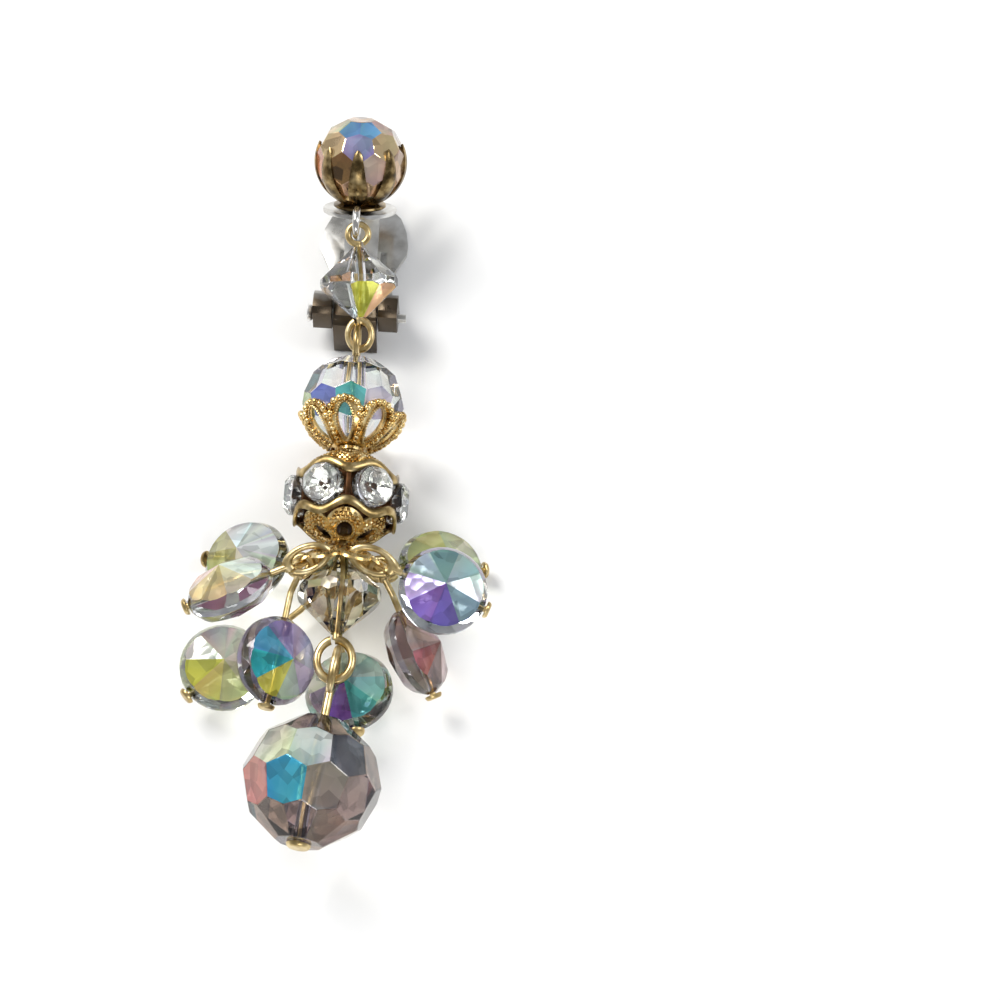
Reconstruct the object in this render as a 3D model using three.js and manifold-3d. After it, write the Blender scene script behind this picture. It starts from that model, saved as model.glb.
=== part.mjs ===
// Drop earring with a clip back, lying on a table as it was laid down. Millimetres,
// +Z up off the table, +Y toward the button end, +X to the right.
import * as THREE from "three";
import { ConvexGeometry } from "three/addons/geometries/ConvexGeometry.js";
import { mergeVertices } from "three/addons/utils/BufferGeometryUtils.js";
import Module from "manifold-3d";

const wasm = await Module();
wasm.setup();

// Wires, bores and fits
const PIN_WIRE = 0.36; // wire radius of the long pin and of the pin of the last ball
const DROP_WIRE = 0.3; // wire radius of the drop pins and of the small bicone's pin
const BORE_GAP = 0.2; // free space around a pin in its bore
const FIT_GAP = 0.18; // free space between a cap and its bead
const METAL = 0.4; // thickness of the stamped metal
const CLIP_METAL = 0.55; // thickness of the clip's metal

// The clip: its pin lies at HINGE, its plane leans down toward the button
const HINGE = [2.1, 15.4, 3.45];
const CLIP_LEAN = 8.7;
const CLIP_TURN = -4;
const CLIP_DEPTH = 4.0; // front to back over the lugs
const PADDLE_BACK = -1.4; // back face of the paddle, measured from the pin
const LUG_TALL = 2.6;
const CLIP_WIDE = 8.0; // over both lugs
const CHEEK_GAP = 0.15; // free space between a lug and the cheek beside it
const STEM_WIDE = 3.2;
const TAB_WIDE = 4.1;
const LUG_WIDE = (CLIP_WIDE - TAB_WIDE) / 2 - CHEEK_GAP;
const TAB_DEPTH = 6.2;
const HINGE_PIN = 0.42;
const STEM_BACK = 0.85; // the stem's face lies this far behind the lug fronts
const DISH_RADIUS = 3.5;

// The button on the dish
const DISH = [2.42, 24.9, 6.5];
const BUTTON_AXIS = direction(0.035, 0.786, 0.617);
const BUTTON_RADIUS = 4.2;
const CUP_FOOT = 0.75; // from the bead down to the dish, for the cup and its foot
const BUTTON_RISE = BUTTON_RADIUS + CUP_FOOT; // centre of the bead above the dish

// The straight run of beads on the long pin
const RUN_CENTRE = [1.6, -4.2, 6.2]; // centre of the stone-set ball
const RUN_AXIS = direction(0.052, 1, 0.002); // toward the button
const ROUND_RADIUS = 4.6;
const ROUND_HALF = 3.9; // half of the bead's length along its bore
const ROUND_AT = 9.6;
const SET_RADIUS = 4.9;
const SET_HALF = 4.6;
const LOWER_RADIUS = 3.9;
const LOWER_HALF = 3.75;
const LOWER_AT = -9.3;
const DROP_CAP_AT = -4.75;

const BICONE = [2.56, 16.55, 8.57];
const BICONE_AXIS = direction(-0.02, 0.964, 0.267);
const BICONE_RADIUS = 3.7;
const BICONE_HALF = 3.35;

const BALL_LOOP = [0.763, -20.661, 6.2]; // centre of the loop that the last ball hangs from
const BALL_NECK = 4.86; // from the ball up to the centre of that loop
const BALL_AXIS = direction(0.172, 0.982, -0.02);
const BALL_RADIUS = 6.1;
const BALL_HALF = 5.75;
const BALL = BALL_LOOP.map((v, i) => v - BALL_AXIS.getComponent(i) * (BALL_HALF + BALL_NECK));

// Drops: petal of the cap that carries it, centre of the disc, which way its face looks
const DROP_RADIUS = 4.1;
const DROP_HALF = 2.7; // half of the disc's thickness, at the point of its facets
const DROPS = [
  { name: "drop_left_upper", petal: -22.5, loop: 1.1, long: 1.7, at: [-8.7, -13.5, 7.9],
    face: [-0.3, 0.67, 0.69], bend: null },
  { name: "drop_left_hidden", petal: -112.5, loop: 0.98, long: 1, at: [-7.65, -9.1, 2.72],
    face: [0.05, 0.12, 1], bend: null },
  { name: "drop_right_upper", petal: 22.5, loop: 1.1, long: 1.7, at: [10.6, -13.7, 8.0],
    face: [0.5, -0.2, 0.84], bend: null },
  { name: "drop_right_hidden", petal: 112.5, loop: 1.04, long: 1, at: [10.3, -9.9, 2.74],
    face: [-0.05, 0.2, 1], bend: null },
  { name: "drop_right_lower", petal: 67.5, loop: 0.98, long: 1, at: [8.1, -18.3, 4.1],
    face: [0.85, 0.26, 0.47], bend: [6.0, -13.3, 5.4] },
  { name: "drop_left_lower", petal: -67.5, loop: 0.98, long: 1, at: [-4.5, -19.8, 6.3],
    face: [0.64, -0.15, 0.75], bend: [-3.3, -13.4, 6.6] },
  { name: "drop_left_back", petal: -157.5, loop: 0.98, long: 1, at: [-9.5, -19.4, 2.85],
    face: [0.2, 0.1, 0.97], bend: [-2.6, -13.6, 2.2] },
  { name: "drop_middle_back", petal: 157.5, loop: 0.94, long: 1, at: [2.0, -21.65, 2.63],
    face: [-0.12, 0, 1], bend: [0.6, -14.1, 0.62] },
];

function direction(x, y, z) {
  return new THREE.Vector3(x, y, z).normalize();
}

function radians(degrees) {
  return (degrees * Math.PI) / 180;
}

// Solids and their combinations
function solidOf(geometry) {
  const bare = new THREE.BufferGeometry();
  bare.setAttribute("position", geometry.attributes.position);
  if (geometry.index) bare.setIndex(geometry.index);
  const merged = mergeVertices(bare, 1e-4);
  return new wasm.Manifold(
    new wasm.Mesh({
      numProp: 3,
      vertProperties: new Float32Array(merged.attributes.position.array),
      triVerts: new Uint32Array(merged.index.array),
    }),
  );
}

function geometryOf(solid) {
  const mesh = solid.getMesh();
  const geometry = new THREE.BufferGeometry();
  const points = new Float32Array(mesh.numVert * 3);
  for (let i = 0; i < mesh.numVert; i += 1) {
    for (let k = 0; k < 3; k += 1) points[3 * i + k] = mesh.vertProperties[mesh.numProp * i + k];
  }
  geometry.setAttribute("position", new THREE.BufferAttribute(points, 3));
  geometry.setIndex(new THREE.BufferAttribute(new Uint32Array(mesh.triVerts), 1));
  return geometry;
}

function fuse(geometries) {
  return geometryOf(geometries.map(solidOf).reduce((sum, next) => sum.add(next)));
}

function cut(base, tools) {
  return geometryOf(tools.map(solidOf).reduce((left, tool) => left.subtract(tool), solidOf(base)));
}

// Local frames: z runs up the bore, the viewer looks along +y, x is to the right
function frameAt(at, up, front) {
  const z = up.clone().normalize();
  const y = front.clone().negate();
  y.addScaledVector(z, -y.dot(z)).normalize();
  const x = new THREE.Vector3().crossVectors(y, z);
  const place = new THREE.Matrix4().makeBasis(x, y, z);
  return place.setPosition(at[0], at[1], at[2]);
}

// A turned body: profile of [radius, height] pairs that starts and ends on the axis or closes
function turned(profile, sides) {
  const points = profile.map(([radius, height]) => new THREE.Vector2(radius, height));
  return new THREE.LatheGeometry(points, sides).rotateX(Math.PI / 2);
}

function rod(radius, from, to, sides) {
  const geometry = new THREE.CylinderGeometry(radius, radius, to - from, sides);
  return geometry.rotateX(Math.PI / 2).translate(0, 0, (from + to) / 2);
}

function block(width, depth, height, x, y, z) {
  return new THREE.BoxGeometry(width, depth, height).translate(x, y, z);
}

// A ring of wire in the plane of x and z; stretch lengthens it along z
function wireRing(meanRadius, wire, stretch, around, sides) {
  const ring = new THREE.TorusGeometry(meanRadius, wire, sides, around);
  ring.rotateX(Math.PI / 2);
  return ring.scale(1, 1, stretch);
}

// A wire that follows a closed path of points around the z axis
function closedWire(points, wire, sides) {
  const count = points.length;
  const vertices = [];
  const faces = [];
  for (let i = 0; i < count; i += 1) {
    const here = points[i];
    const ahead = points[(i + 1) % count].clone().sub(points[(i + count - 1) % count]).normalize();
    const out = new THREE.Vector3(here.x, here.y, 0).normalize();
    out.addScaledVector(ahead, -out.dot(ahead)).normalize();
    const side = new THREE.Vector3().crossVectors(ahead, out);
    for (let k = 0; k < sides; k += 1) {
      const turn = (2 * Math.PI * k) / sides;
      const point = here.clone();
      point.addScaledVector(out, wire * Math.cos(turn)).addScaledVector(side, wire * Math.sin(turn));
      vertices.push(point.x, point.y, point.z);
      const next = ((i + 1) % count) * sides;
      const a = i * sides + k;
      const b = i * sides + ((k + 1) % sides);
      const c = next + k;
      const d = next + ((k + 1) % sides);
      faces.push(a, b, d, a, d, c);
    }
  }
  const geometry = new THREE.BufferGeometry();
  geometry.setAttribute("position", new THREE.Float32BufferAttribute(vertices, 3));
  geometry.setIndex(faces);
  return geometry;
}

// A cut stone is the space inside its facets; each facet has a normal and a distance
function cutStone(facets) {
  const corners = [];
  const point = new THREE.Vector3();
  for (let i = 0; i < facets.length; i += 1) {
    for (let j = i + 1; j < facets.length; j += 1) {
      const across = new THREE.Vector3().crossVectors(facets[i].normal, facets[j].normal);
      if (across.lengthSq() < 1e-8) continue;
      for (let k = j + 1; k < facets.length; k += 1) {
        const whole = across.dot(facets[k].normal);
        if (Math.abs(whole) < 1e-7) continue;
        point.copy(across).multiplyScalar(facets[k].distance);
        const second = new THREE.Vector3().crossVectors(facets[j].normal, facets[k].normal);
        const third = new THREE.Vector3().crossVectors(facets[k].normal, facets[i].normal);
        point.addScaledVector(second, facets[i].distance);
        point.addScaledVector(third, facets[j].distance).divideScalar(whole);
        if (facets.some((facet) => facet.normal.dot(point) > facet.distance + 1e-5)) continue;
        if (corners.some((corner) => corner.distanceToSquared(point) < 1e-4)) continue;
        corners.push(point.clone());
      }
    }
  }
  return new ConvexGeometry(corners);
}

// Rows of facets: latitude in degrees, how many around, share of a step turned, distance
function facetRows(rows) {
  const facets = [];
  for (const row of rows) {
    for (let i = 0; i < row.count; i += 1) {
      const turn = (2 * Math.PI * (i + row.shift)) / row.count;
      const flat = Math.cos(radians(row.latitude));
      const normal = new THREE.Vector3(flat * Math.cos(turn), flat * Math.sin(turn), 0);
      normal.z = Math.sin(radians(row.latitude));
      facets.push({ normal, distance: row.distance });
    }
  }
  return facets;
}

function bored(stone, radius, reach) {
  return cut(stone, [rod(radius, -reach, reach, 10)]);
}

// Round bead with two broad rows of facets each side and flats at its bore
function roundBead(radius, half, count, bore) {
  const rows = [
    { latitude: 90, count: 1, shift: 0, distance: half },
    { latitude: -90, count: 1, shift: 0, distance: half },
  ];
  for (const side of [1, -1]) {
    const shift = side > 0 ? 0 : 0.5;
    rows.push({ latitude: side * 19, count, shift, distance: radius * 0.955 });
    rows.push({ latitude: side * 52, count, shift: shift + 0.5, distance: radius * 0.95 });
  }
  return bored(cutStone(facetRows(rows)), bore, half + 1);
}

function biconeBead(radius, half, count, bore) {
  const slope = (Math.atan2(half + 0.35, radius) * 180) / Math.PI;
  const facing = 90 - slope;
  const rows = [
    { latitude: 90, count: 1, shift: 0, distance: half },
    { latitude: -90, count: 1, shift: 0, distance: half },
    { latitude: 0, count: 2 * count, shift: 0.5, distance: radius * 0.965 },
  ];
  const distance = (half + 0.55) * Math.sin(radians(facing));
  for (const side of [1, -1]) rows.push({ latitude: side * facing, count, shift: 0.25, distance });
  return bored(cutStone(facetRows(rows)), bore, half + 1);
}

// Disc bead with eight facets meeting in a point on each face, bored across; face looks along y
function discBead() {
  const rows = [];
  for (const side of [1, -1]) {
    rows.push({ latitude: side * 66, count: 8, shift: 0.5, distance: DROP_HALF * 0.9135 });
    rows.push({ latitude: side * 30, count: 12, shift: 0, distance: DROP_RADIUS * 0.88 });
  }
  rows.push({ latitude: 0, count: 12, shift: 0.5, distance: DROP_RADIUS * 0.975 });
  const disc = cutStone(facetRows(rows)).rotateX(Math.PI / 2);
  return bored(disc, DROP_WIRE + BORE_GAP, DROP_RADIUS + 1);
}

// A cutter that goes straight through a wall at a given turn around the axis; turn 0 is toward
// the viewer, and tilt leans it from level (0) to straight down (-90)
function wallCutter(outline, turn, tilt, reach) {
  const cutter = new THREE.ExtrudeGeometry(outline, {
    depth: reach,
    bevelEnabled: false,
    curveSegments: 3,
  });
  return cutter.rotateX(Math.PI / 2).rotateX(radians(-tilt)).rotateZ(radians(turn));
}

function outlineOf(points) {
  return new THREE.Shape(points.map(([x, y]) => new THREE.Vector2(x, y)));
}

function ovalOutline(width, height, centre) {
  const shape = new THREE.Shape();
  shape.absellipse(0, centre, width / 2, height / 2, 0, 2 * Math.PI);
  return shape;
}

const parts = [];
function add(name, colour, geometry, place) {
  parts.push({ name, colour, geometry: geometry.clone().applyMatrix4(place) });
}

const GOLD = "#c9a350";
const SILVER = "#b9b8b2";
const CRYSTAL = "#dfe6ea";
const CHAMPAGNE = "#cfc8a4";

const FRONT = direction(0, 0, 1);
const runFrame = (along) => {
  const at = new THREE.Vector3(...RUN_CENTRE).addScaledVector(RUN_AXIS, along);
  return frameAt(at.toArray(), RUN_AXIS, FRONT);
};

// Clip, in its own frame: x to the viewer's left, y to the front, z up the paddle
const clipUp = direction(
  -Math.sin(radians(CLIP_TURN)) * Math.cos(radians(CLIP_LEAN)),
  Math.cos(radians(CLIP_TURN)) * Math.cos(radians(CLIP_LEAN)),
  -Math.sin(radians(CLIP_LEAN)),
);
const clipFrame = frameAt(HINGE, clipUp, FRONT).multiply(new THREE.Matrix4().makeRotationZ(Math.PI));
const clipFront = PADDLE_BACK + CLIP_DEPTH;
const dishInClip = new THREE.Vector3(...DISH).applyMatrix4(clipFrame.clone().invert());
const axisInClip = BUTTON_AXIS.clone().transformDirection(clipFrame.clone().invert());

// A strip bent in its side plane: points are [front, up], extruded across its width
function bentStrip(points, thickness, width, middle) {
  const left = [];
  const right = [];
  points.forEach(([y, z], i) => {
    const before = points[Math.max(i - 1, 0)];
    const after = points[Math.min(i + 1, points.length - 1)];
    const run = new THREE.Vector2(after[0] - before[0], after[1] - before[1]).normalize();
    left.push([y - (run.y * thickness) / 2, z + (run.x * thickness) / 2]);
    right.push([y + (run.y * thickness) / 2, z - (run.x * thickness) / 2]);
  });
  const shape = outlineOf([...left, ...right.reverse()]);
  const strip = new THREE.ExtrudeGeometry(shape, { depth: width, bevelEnabled: false });
  strip.rotateX(Math.PI / 2).rotateZ(Math.PI / 2);
  return strip.translate(middle - width / 2, 0, 0);
}

function clipFrontGeometry() {
  const low = -LUG_TALL / 2 - 0.25;
  const face = clipFront - STEM_BACK - CLIP_METAL / 2;
  const dishBack = dishInClip.clone().addScaledVector(axisInClip, -0.3);
  const tab = bentStrip(
    [[clipFront - TAB_DEPTH, low], [face - 0.5, low], [face, low + 0.5], [face, low + 1.6]],
    CLIP_METAL, TAB_WIDE, 0,
  );
  const stem = bentStrip(
    [[face, low + 0.7], [face, 3.6], [face + 0.25, 5.2], [dishBack.y - 0.35, dishBack.z - 0.5],
      [dishBack.y, dishBack.z]],
    CLIP_METAL, STEM_WIDE, 0,
  );
  const cheeks = [-1, 1].map((side) =>
    block(0.5, face + 1.0, LUG_TALL - 0.1, side * (TAB_WIDE / 2 - 0.25), (face - 1.0) / 2, -0.2));
  const dish = turned([[0, -0.3], [2.4, -0.3], [DISH_RADIUS, 0.0], [DISH_RADIUS, 0.35], [2.3, 0.1],
    [0, 0.1]], 20);
  const dishPlace = frameAt(dishInClip.toArray(), axisInClip, new THREE.Vector3(0, 1, 0));
  const hole = rod(0.6, -2, 2, 10).translate(0, -2.55, 0);
  const dishCut = cut(dish, [hole]).applyMatrix4(dishPlace);
  const bore = rod(HINGE_PIN + 0.1, -6, 6, 12).rotateY(Math.PI / 2);
  return cut(fuse([tab, stem, ...cheeks, dishCut]), [bore]);
}

function clipPaddleGeometry() {
  const edge = CLIP_WIDE / 2;
  const notch = TAB_WIDE / 2 + 0.25;
  const half = [[edge, 1.5], [3.15, 2.6], [3.1, 5.6], [3.6, 6.7], [4.15, 7.8], [4.22, 8.8],
    [3.95, 10.3], [3.3, 11.9], [2.3, 12.8], [1.0, 13.2]];
  const outline = outlineOf([
    [edge, -0.6],
    ...half,
    ...half.map(([x, z]) => [-x, z]).reverse(),
    [-edge, -0.6],
    [-notch, -0.6],
    [-notch, 1.7],
    [notch, 1.7],
    [notch, -0.6],
  ]);
  const plate = new THREE.ExtrudeGeometry(outline, { depth: CLIP_METAL, bevelEnabled: false });
  plate.rotateX(Math.PI / 2).translate(0, PADDLE_BACK + CLIP_METAL, 0);
  const slots = [-1, 1].map((side) =>
    block(0.55, 3, 5.2, side * 1.95, PADDLE_BACK, 5.3));
  const lugShape = outlineOf([
    [PADDLE_BACK, LUG_TALL / 2 + 0.3], [PADDLE_BACK, -0.4], [PADDLE_BACK + 0.9, -LUG_TALL / 2],
    [clipFront - 0.5, -LUG_TALL / 2], [clipFront, -LUG_TALL / 2 + 0.5], [clipFront, LUG_TALL / 2 - 0.7],
    [clipFront - 0.6, LUG_TALL / 2],
  ]);
  const lugs = [-1, 1].map((side) => {
    const lug = new THREE.ExtrudeGeometry(lugShape, { depth: LUG_WIDE, bevelEnabled: false });
    lug.rotateX(Math.PI / 2).rotateZ(Math.PI / 2);
    return lug.translate(side * (CLIP_WIDE - LUG_WIDE) / 2 - LUG_WIDE / 2, 0, 0);
  });
  const bore = rod(HINGE_PIN + 0.1, -6, 6, 12).rotateY(Math.PI / 2);
  return cut(fuse([cut(plate, slots), ...lugs]), [bore]);
}

function hingePinGeometry() {
  const end = CLIP_WIDE / 2 + 0.15;
  const shaft = rod(HINGE_PIN, -end - 0.6, end + 0.2, 12);
  const head = rod(HINGE_PIN + 0.35, end, end + 0.45, 12);
  return fuse([shaft, head]).rotateY(Math.PI / 2);
}

add("clip_front", SILVER, clipFrontGeometry(), clipFrame);
add("clip_paddle", SILVER, clipPaddleGeometry(), clipFrame);
add("hinge_pin", SILVER, hingePinGeometry(), clipFrame);

// Button bead in its claw cup, standing on the dish
const dishFrame = frameAt(DISH, BUTTON_AXIS, FRONT);
const buttonCentre = new THREE.Vector3(...DISH).addScaledVector(BUTTON_AXIS, BUTTON_RISE);
const buttonFrame = frameAt(buttonCentre.toArray(), BUTTON_AXIS, FRONT);

function clawCupGeometry() {
  const inner = BUTTON_RADIUS + FIT_GAP + 0.1;
  const outer = inner + METAL * 0.8;
  const profile = [];
  for (let i = 0; i <= 5; i += 1) {
    const latitude = radians(-78 + (i * 108) / 5);
    profile.push([outer * Math.cos(latitude), outer * Math.sin(latitude)]);
  }
  for (let i = 5; i >= 0; i -= 1) {
    const latitude = radians(-78 + (i * 108) / 5);
    profile.push([inner * Math.cos(latitude), inner * Math.sin(latitude)]);
  }
  profile.push(profile[0]);
  const wall = turned(profile, 16);
  const windows = [];
  for (let i = 0; i < 8; i += 1) {
    const window = outlineOf([[0, -3.0], [0.72, -1.2], [0.95, 0.6], [1.35, 3], [-1.35, 3],
      [-0.95, 0.6], [-0.72, -1.2]]);
    windows.push(wallCutter(window, 22.5 + i * 45, 0, 7));
  }
  const skirt = -BUTTON_RISE + 0.45;
  const base = turned([[0.8, skirt - 0.2], [2.35, skirt], [2.45, skirt + 0.3], [1.9, skirt + 0.35],
    [0.8, skirt + 0.1], [0.8, skirt - 0.2]], 16);
  const foot = rod(0.85, -BUTTON_RISE + 0.16, -inner, 10);
  return fuse([cut(wall, windows), base, foot, rod(1.15, -outer, -inner * 0.955, 12)]);
}

add("claw_cup", GOLD, clawCupGeometry(), buttonFrame);
add("button_crystal", CRYSTAL,
  cutStone(facetRows([
    { latitude: 90, count: 1, shift: 0, distance: BUTTON_RADIUS * 0.93 },
    { latitude: -90, count: 1, shift: 0, distance: BUTTON_RADIUS * 0.9 },
    { latitude: 60, count: 8, shift: 0.5, distance: BUTTON_RADIUS * 0.95 },
    { latitude: 28, count: 8, shift: 0, distance: BUTTON_RADIUS * 0.95 },
    { latitude: -2, count: 8, shift: 0.5, distance: BUTTON_RADIUS * 0.95 },
    { latitude: -32, count: 8, shift: 0, distance: BUTTON_RADIUS * 0.95 },
    { latitude: -62, count: 8, shift: 0.5, distance: BUTTON_RADIUS * 0.95 },
  ])), buttonFrame);

// Ring through the dish's hole; it hangs toward the drops
const ringFrame = dishFrame.clone().multiply(new THREE.Matrix4().makeTranslation(0, -3.9, -0.3));
const dropRing = new THREE.TorusGeometry(1.35, 0.34, 6, 14).rotateY(Math.PI / 2);
add("drop_ring", SILVER, dropRing, ringFrame);

// Small bicone on its own double-looped pin
const biconeFrame = frameAt(BICONE, BICONE_AXIS, FRONT);
add("bicone_crystal", CRYSTAL,
  biconeBead(BICONE_RADIUS, BICONE_HALF, 8, DROP_WIRE + BORE_GAP), biconeFrame);
const biconeLoops = fuse([
  rod(DROP_WIRE, -BICONE_HALF - 0.55, BICONE_HALF + 0.45, 6),
  wireRing(0.95, DROP_WIRE, 1.0, 12, 6).translate(0, 0, BICONE_HALF + 1.25),
  wireRing(1.1, DROP_WIRE, 1.25, 12, 6).translate(0, 0, -BICONE_HALF - 1.55),
]);
add("bicone_eye_pin", GOLD, biconeLoops, biconeFrame);

// Long pin with a loop at each end
const runTop = ROUND_AT + ROUND_HALF;
const runLow = LOWER_AT - LOWER_HALF;
const longPin = fuse([
  rod(PIN_WIRE, runLow - 0.5, runTop + 0.5, 6),
  wireRing(1.2, PIN_WIRE * 0.9, 1.25, 12, 6).rotateZ(Math.PI / 2).translate(0, -0.75, runTop + 1.85),
  wireRing(1.6, PIN_WIRE, 1.2, 14, 6).translate(0, 0, runLow - 2.45),
]);
add("main_eye_pin", GOLD, longPin, runFrame(0));
add("round_crystal", CRYSTAL, roundBead(ROUND_RADIUS, ROUND_HALF, 10, PIN_WIRE + BORE_GAP),
  runFrame(ROUND_AT));

// Cap of eight pierced petals under the round bead
function petalCapGeometry() {
  const inner = ROUND_RADIUS + FIT_GAP;
  const outer = inner + METAL;
  const profile = [];
  for (let i = 0; i <= 4; i += 1) {
    const latitude = radians(-82 + (i * 76) / 4);
    profile.push([outer * Math.cos(latitude), outer * Math.sin(latitude)]);
  }
  for (let i = 4; i >= 0; i -= 1) {
    const latitude = radians(-82 + (i * 76) / 4);
    profile.push([inner * Math.cos(latitude), inner * Math.sin(latitude)]);
  }
  profile.push(profile[0]);
  const tools = [];
  for (let i = 0; i < 8; i += 1) {
    tools.push(wallCutter(outlineOf([[0, -2.5], [0.5, -1.7], [1.15, -0.9], [1.5, 0.6], [-1.5, 0.6],
      [-1.15, -0.9], [-0.5, -1.7]]), i * 45 + 22.5 - 6, 0, 7));
    tools.push(wallCutter(ovalOutline(1.5, 3.1, 0), i * 45 - 6, -42, 7));
  }
  return cut(turned(profile, 16), tools);
}
add("petal_cap", GOLD, petalCapGeometry(), runFrame(ROUND_AT));

// Stone-set ball: two pierced domes, two waved wires, a core and posts, soldered in one
const STONES = 6;
const STONE_TURN = 5; // turn of the gap that faces the viewer
function setBallGeometry() {
  const profileAt = (grow) => {
    const points = [];
    for (let i = 0; i <= 3; i += 1) {
      const part = radians(20 + (i * 58) / 3);
      points.push([(SET_RADIUS - grow) * Math.cos(part), -(SET_HALF - grow) * Math.sin(part)]);
    }
    return points;
  };
  const shell = [...profileAt(0).reverse(), ...profileAt(METAL)];
  shell.push(shell[0]);
  const dome = turned(shell, 12);
  const tools = [];
  for (let i = 0; i < STONES; i += 1) {
    const gap = STONE_TURN + (i * 360) / STONES;
    tools.push(wallCutter(outlineOf([[0, -3.65], [0.55, -3.1], [1.15, -2.5], [1.6, -1.6], [1.6, -0.5],
      [-1.6, -0.5], [-1.6, -1.6], [-1.15, -2.5], [-0.55, -3.1]]), gap + 180 / STONES, 0, 7));
    tools.push(wallCutter(ovalOutline(1.5, 2.2, 0), gap, -57, 7));
  }
  const lower = cut(dome, tools);
  const upper = lower.clone().rotateX(Math.PI).rotateZ(radians(2 * STONE_TURN + 180));
  const pieces = [lower, upper];
  for (const side of [1, -1]) {
    const points = [];
    for (let i = 0; i < 24; i += 1) {
      const turn = (2 * Math.PI * i) / 24;
      const wave = Math.cos(STONES * (turn + Math.PI / 2 - radians(STONE_TURN)));
      const rise = side > 0 ? 1.84 - 0.42 * wave : -2.12 + 0.42 * wave;
      points.push(new THREE.Vector3(4.72 * Math.cos(turn), 4.72 * Math.sin(turn), rise));
    }
    pieces.push(closedWire(points, 0.34, 5));
  }
  const core = turned([[2.4, -2.9], [3.1, -2.9], [3.1, 2.9], [2.4, 2.9], [2.4, -2.9]], 12);
  pieces.push(core);
  for (let i = 0; i < STONES; i += 1) {
    const post = block(0.42, 1.75, 3.7, 0, -3.85, 0);
    pieces.push(post.rotateZ(radians(STONE_TURN + (i * 360) / STONES)));
  }
  return fuse(pieces);
}
add("stone_ball_setting", GOLD, setBallGeometry(), runFrame(0));

const STONE_RADIUS = 1.95;
for (let i = 0; i < STONES; i += 1) {
  const stone = cutStone(facetRows([
    { latitude: 90, count: 1, shift: 0, distance: 1.15 },
    { latitude: -90, count: 1, shift: 0, distance: 0.75 },
    { latitude: 48, count: 8, shift: 0, distance: 1.62 },
    { latitude: 0, count: 16, shift: 0.5, distance: STONE_RADIUS * 0.93 },
  ]));
  stone.rotateX(Math.PI / 2).translate(0, -4.6, 0);
  stone.rotateZ(radians(STONE_TURN + 30 + (i * 360) / STONES));
  add(`rhinestone_${i + 1}`, CRYSTAL, stone, runFrame(0));
}

// Cap of eight pierced petals that carries the drops
const HANG_RADIUS = 3.35;
const HANG_DOWN = -1.45;
function dropCapGeometry() {
  const cone = turned([[0.65, 0.0], [0.65, -0.42], [2.05, -0.88], [4.0, -2.1], [4.15, -1.75],
    [2.2, -0.45], [0.65, 0.0]], 24);
  const tools = [];
  for (let i = 0; i < 8; i += 1) {
    const turn = radians(i * 45);
    const notch = new THREE.ExtrudeGeometry(
      outlineOf([[0, 3.0], [0.85, 4.05], [0.95, 5], [-0.95, 5], [-0.85, 4.05]]),
      { depth: 6, bevelEnabled: false },
    );
    notch.rotateZ(Math.PI).translate(0, 0, -4).rotateZ(turn);
    tools.push(notch);
    const hole = rod(0.74, -2, 2, 8).rotateX(radians(33.7)).translate(0, -HANG_RADIUS, HANG_DOWN);
    tools.push(hole.rotateZ(turn + radians(22.5)));
  }
  return cut(cone, tools);
}
add("drop_cap", GOLD, dropCapGeometry(), runFrame(DROP_CAP_AT));
add("lower_bicone", CHAMPAGNE,
  biconeBead(LOWER_RADIUS, LOWER_HALF, 8, PIN_WIRE + BORE_GAP), runFrame(LOWER_AT));

// Eight drops: a disc bead on a headed pin whose loop goes through a petal of the cap
const capFrame = runFrame(DROP_CAP_AT);
for (const drop of DROPS) {
  const turn = radians(drop.petal - 90);
  const hole = new THREE.Vector3(Math.cos(turn) * HANG_RADIUS, Math.sin(turn) * HANG_RADIUS, HANG_DOWN);
  const petalOut = new THREE.Vector3(Math.cos(turn) * 0.5, Math.sin(turn) * 0.5, 0.87);
  hole.applyMatrix4(capFrame);
  petalOut.transformDirection(capFrame);
  const centre = new THREE.Vector3(...drop.at);
  const corner = drop.bend ? new THREE.Vector3(...drop.bend) : hole;
  const up = corner.clone().sub(centre).normalize();
  const place = frameAt(drop.at, up, direction(...drop.face));
  add(`${drop.name}_crystal`, CRYSTAL, discBead(), place);

  // The loop lies in the plane of the first stretch of wire and of the petal's outward side
  const first = drop.bend ? corner.clone().sub(hole).normalize().negate() : up;
  const loopSide = new THREE.Vector3().crossVectors(first, petalOut);
  const loopPlace = frameAt(hole.toArray(), first, loopSide);
  const far = hole.distanceTo(corner) + (drop.bend ? 0 : hole.distanceTo(centre) + DROP_RADIUS + 0.3);
  const drawn = drop.loop * drop.long;
  const loop = wireRing(drop.loop, DROP_WIRE, drop.long, 10, 6).translate(0, 0, -drawn);
  const stretch = rod(DROP_WIRE, -far, -2 * drawn + 0.05, 6);
  const pieces = [fuse([loop, stretch]).applyMatrix4(loopPlace)];
  const lower = [rod(0.85, -DROP_RADIUS - 0.5, -DROP_RADIUS - 0.08, 10)];
  if (drop.bend) {
    lower.push(rod(DROP_WIRE, -DROP_RADIUS - 0.3, corner.distanceTo(centre), 6));
    pieces.push(new THREE.IcosahedronGeometry(DROP_WIRE * 1.1, 0).translate(...drop.bend));
  }
  pieces.push(fuse(lower).applyMatrix4(frameAt(drop.at, up, loopSide)));
  add(`${drop.name}_pin`, GOLD, fuse(pieces), new THREE.Matrix4());
}

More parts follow.
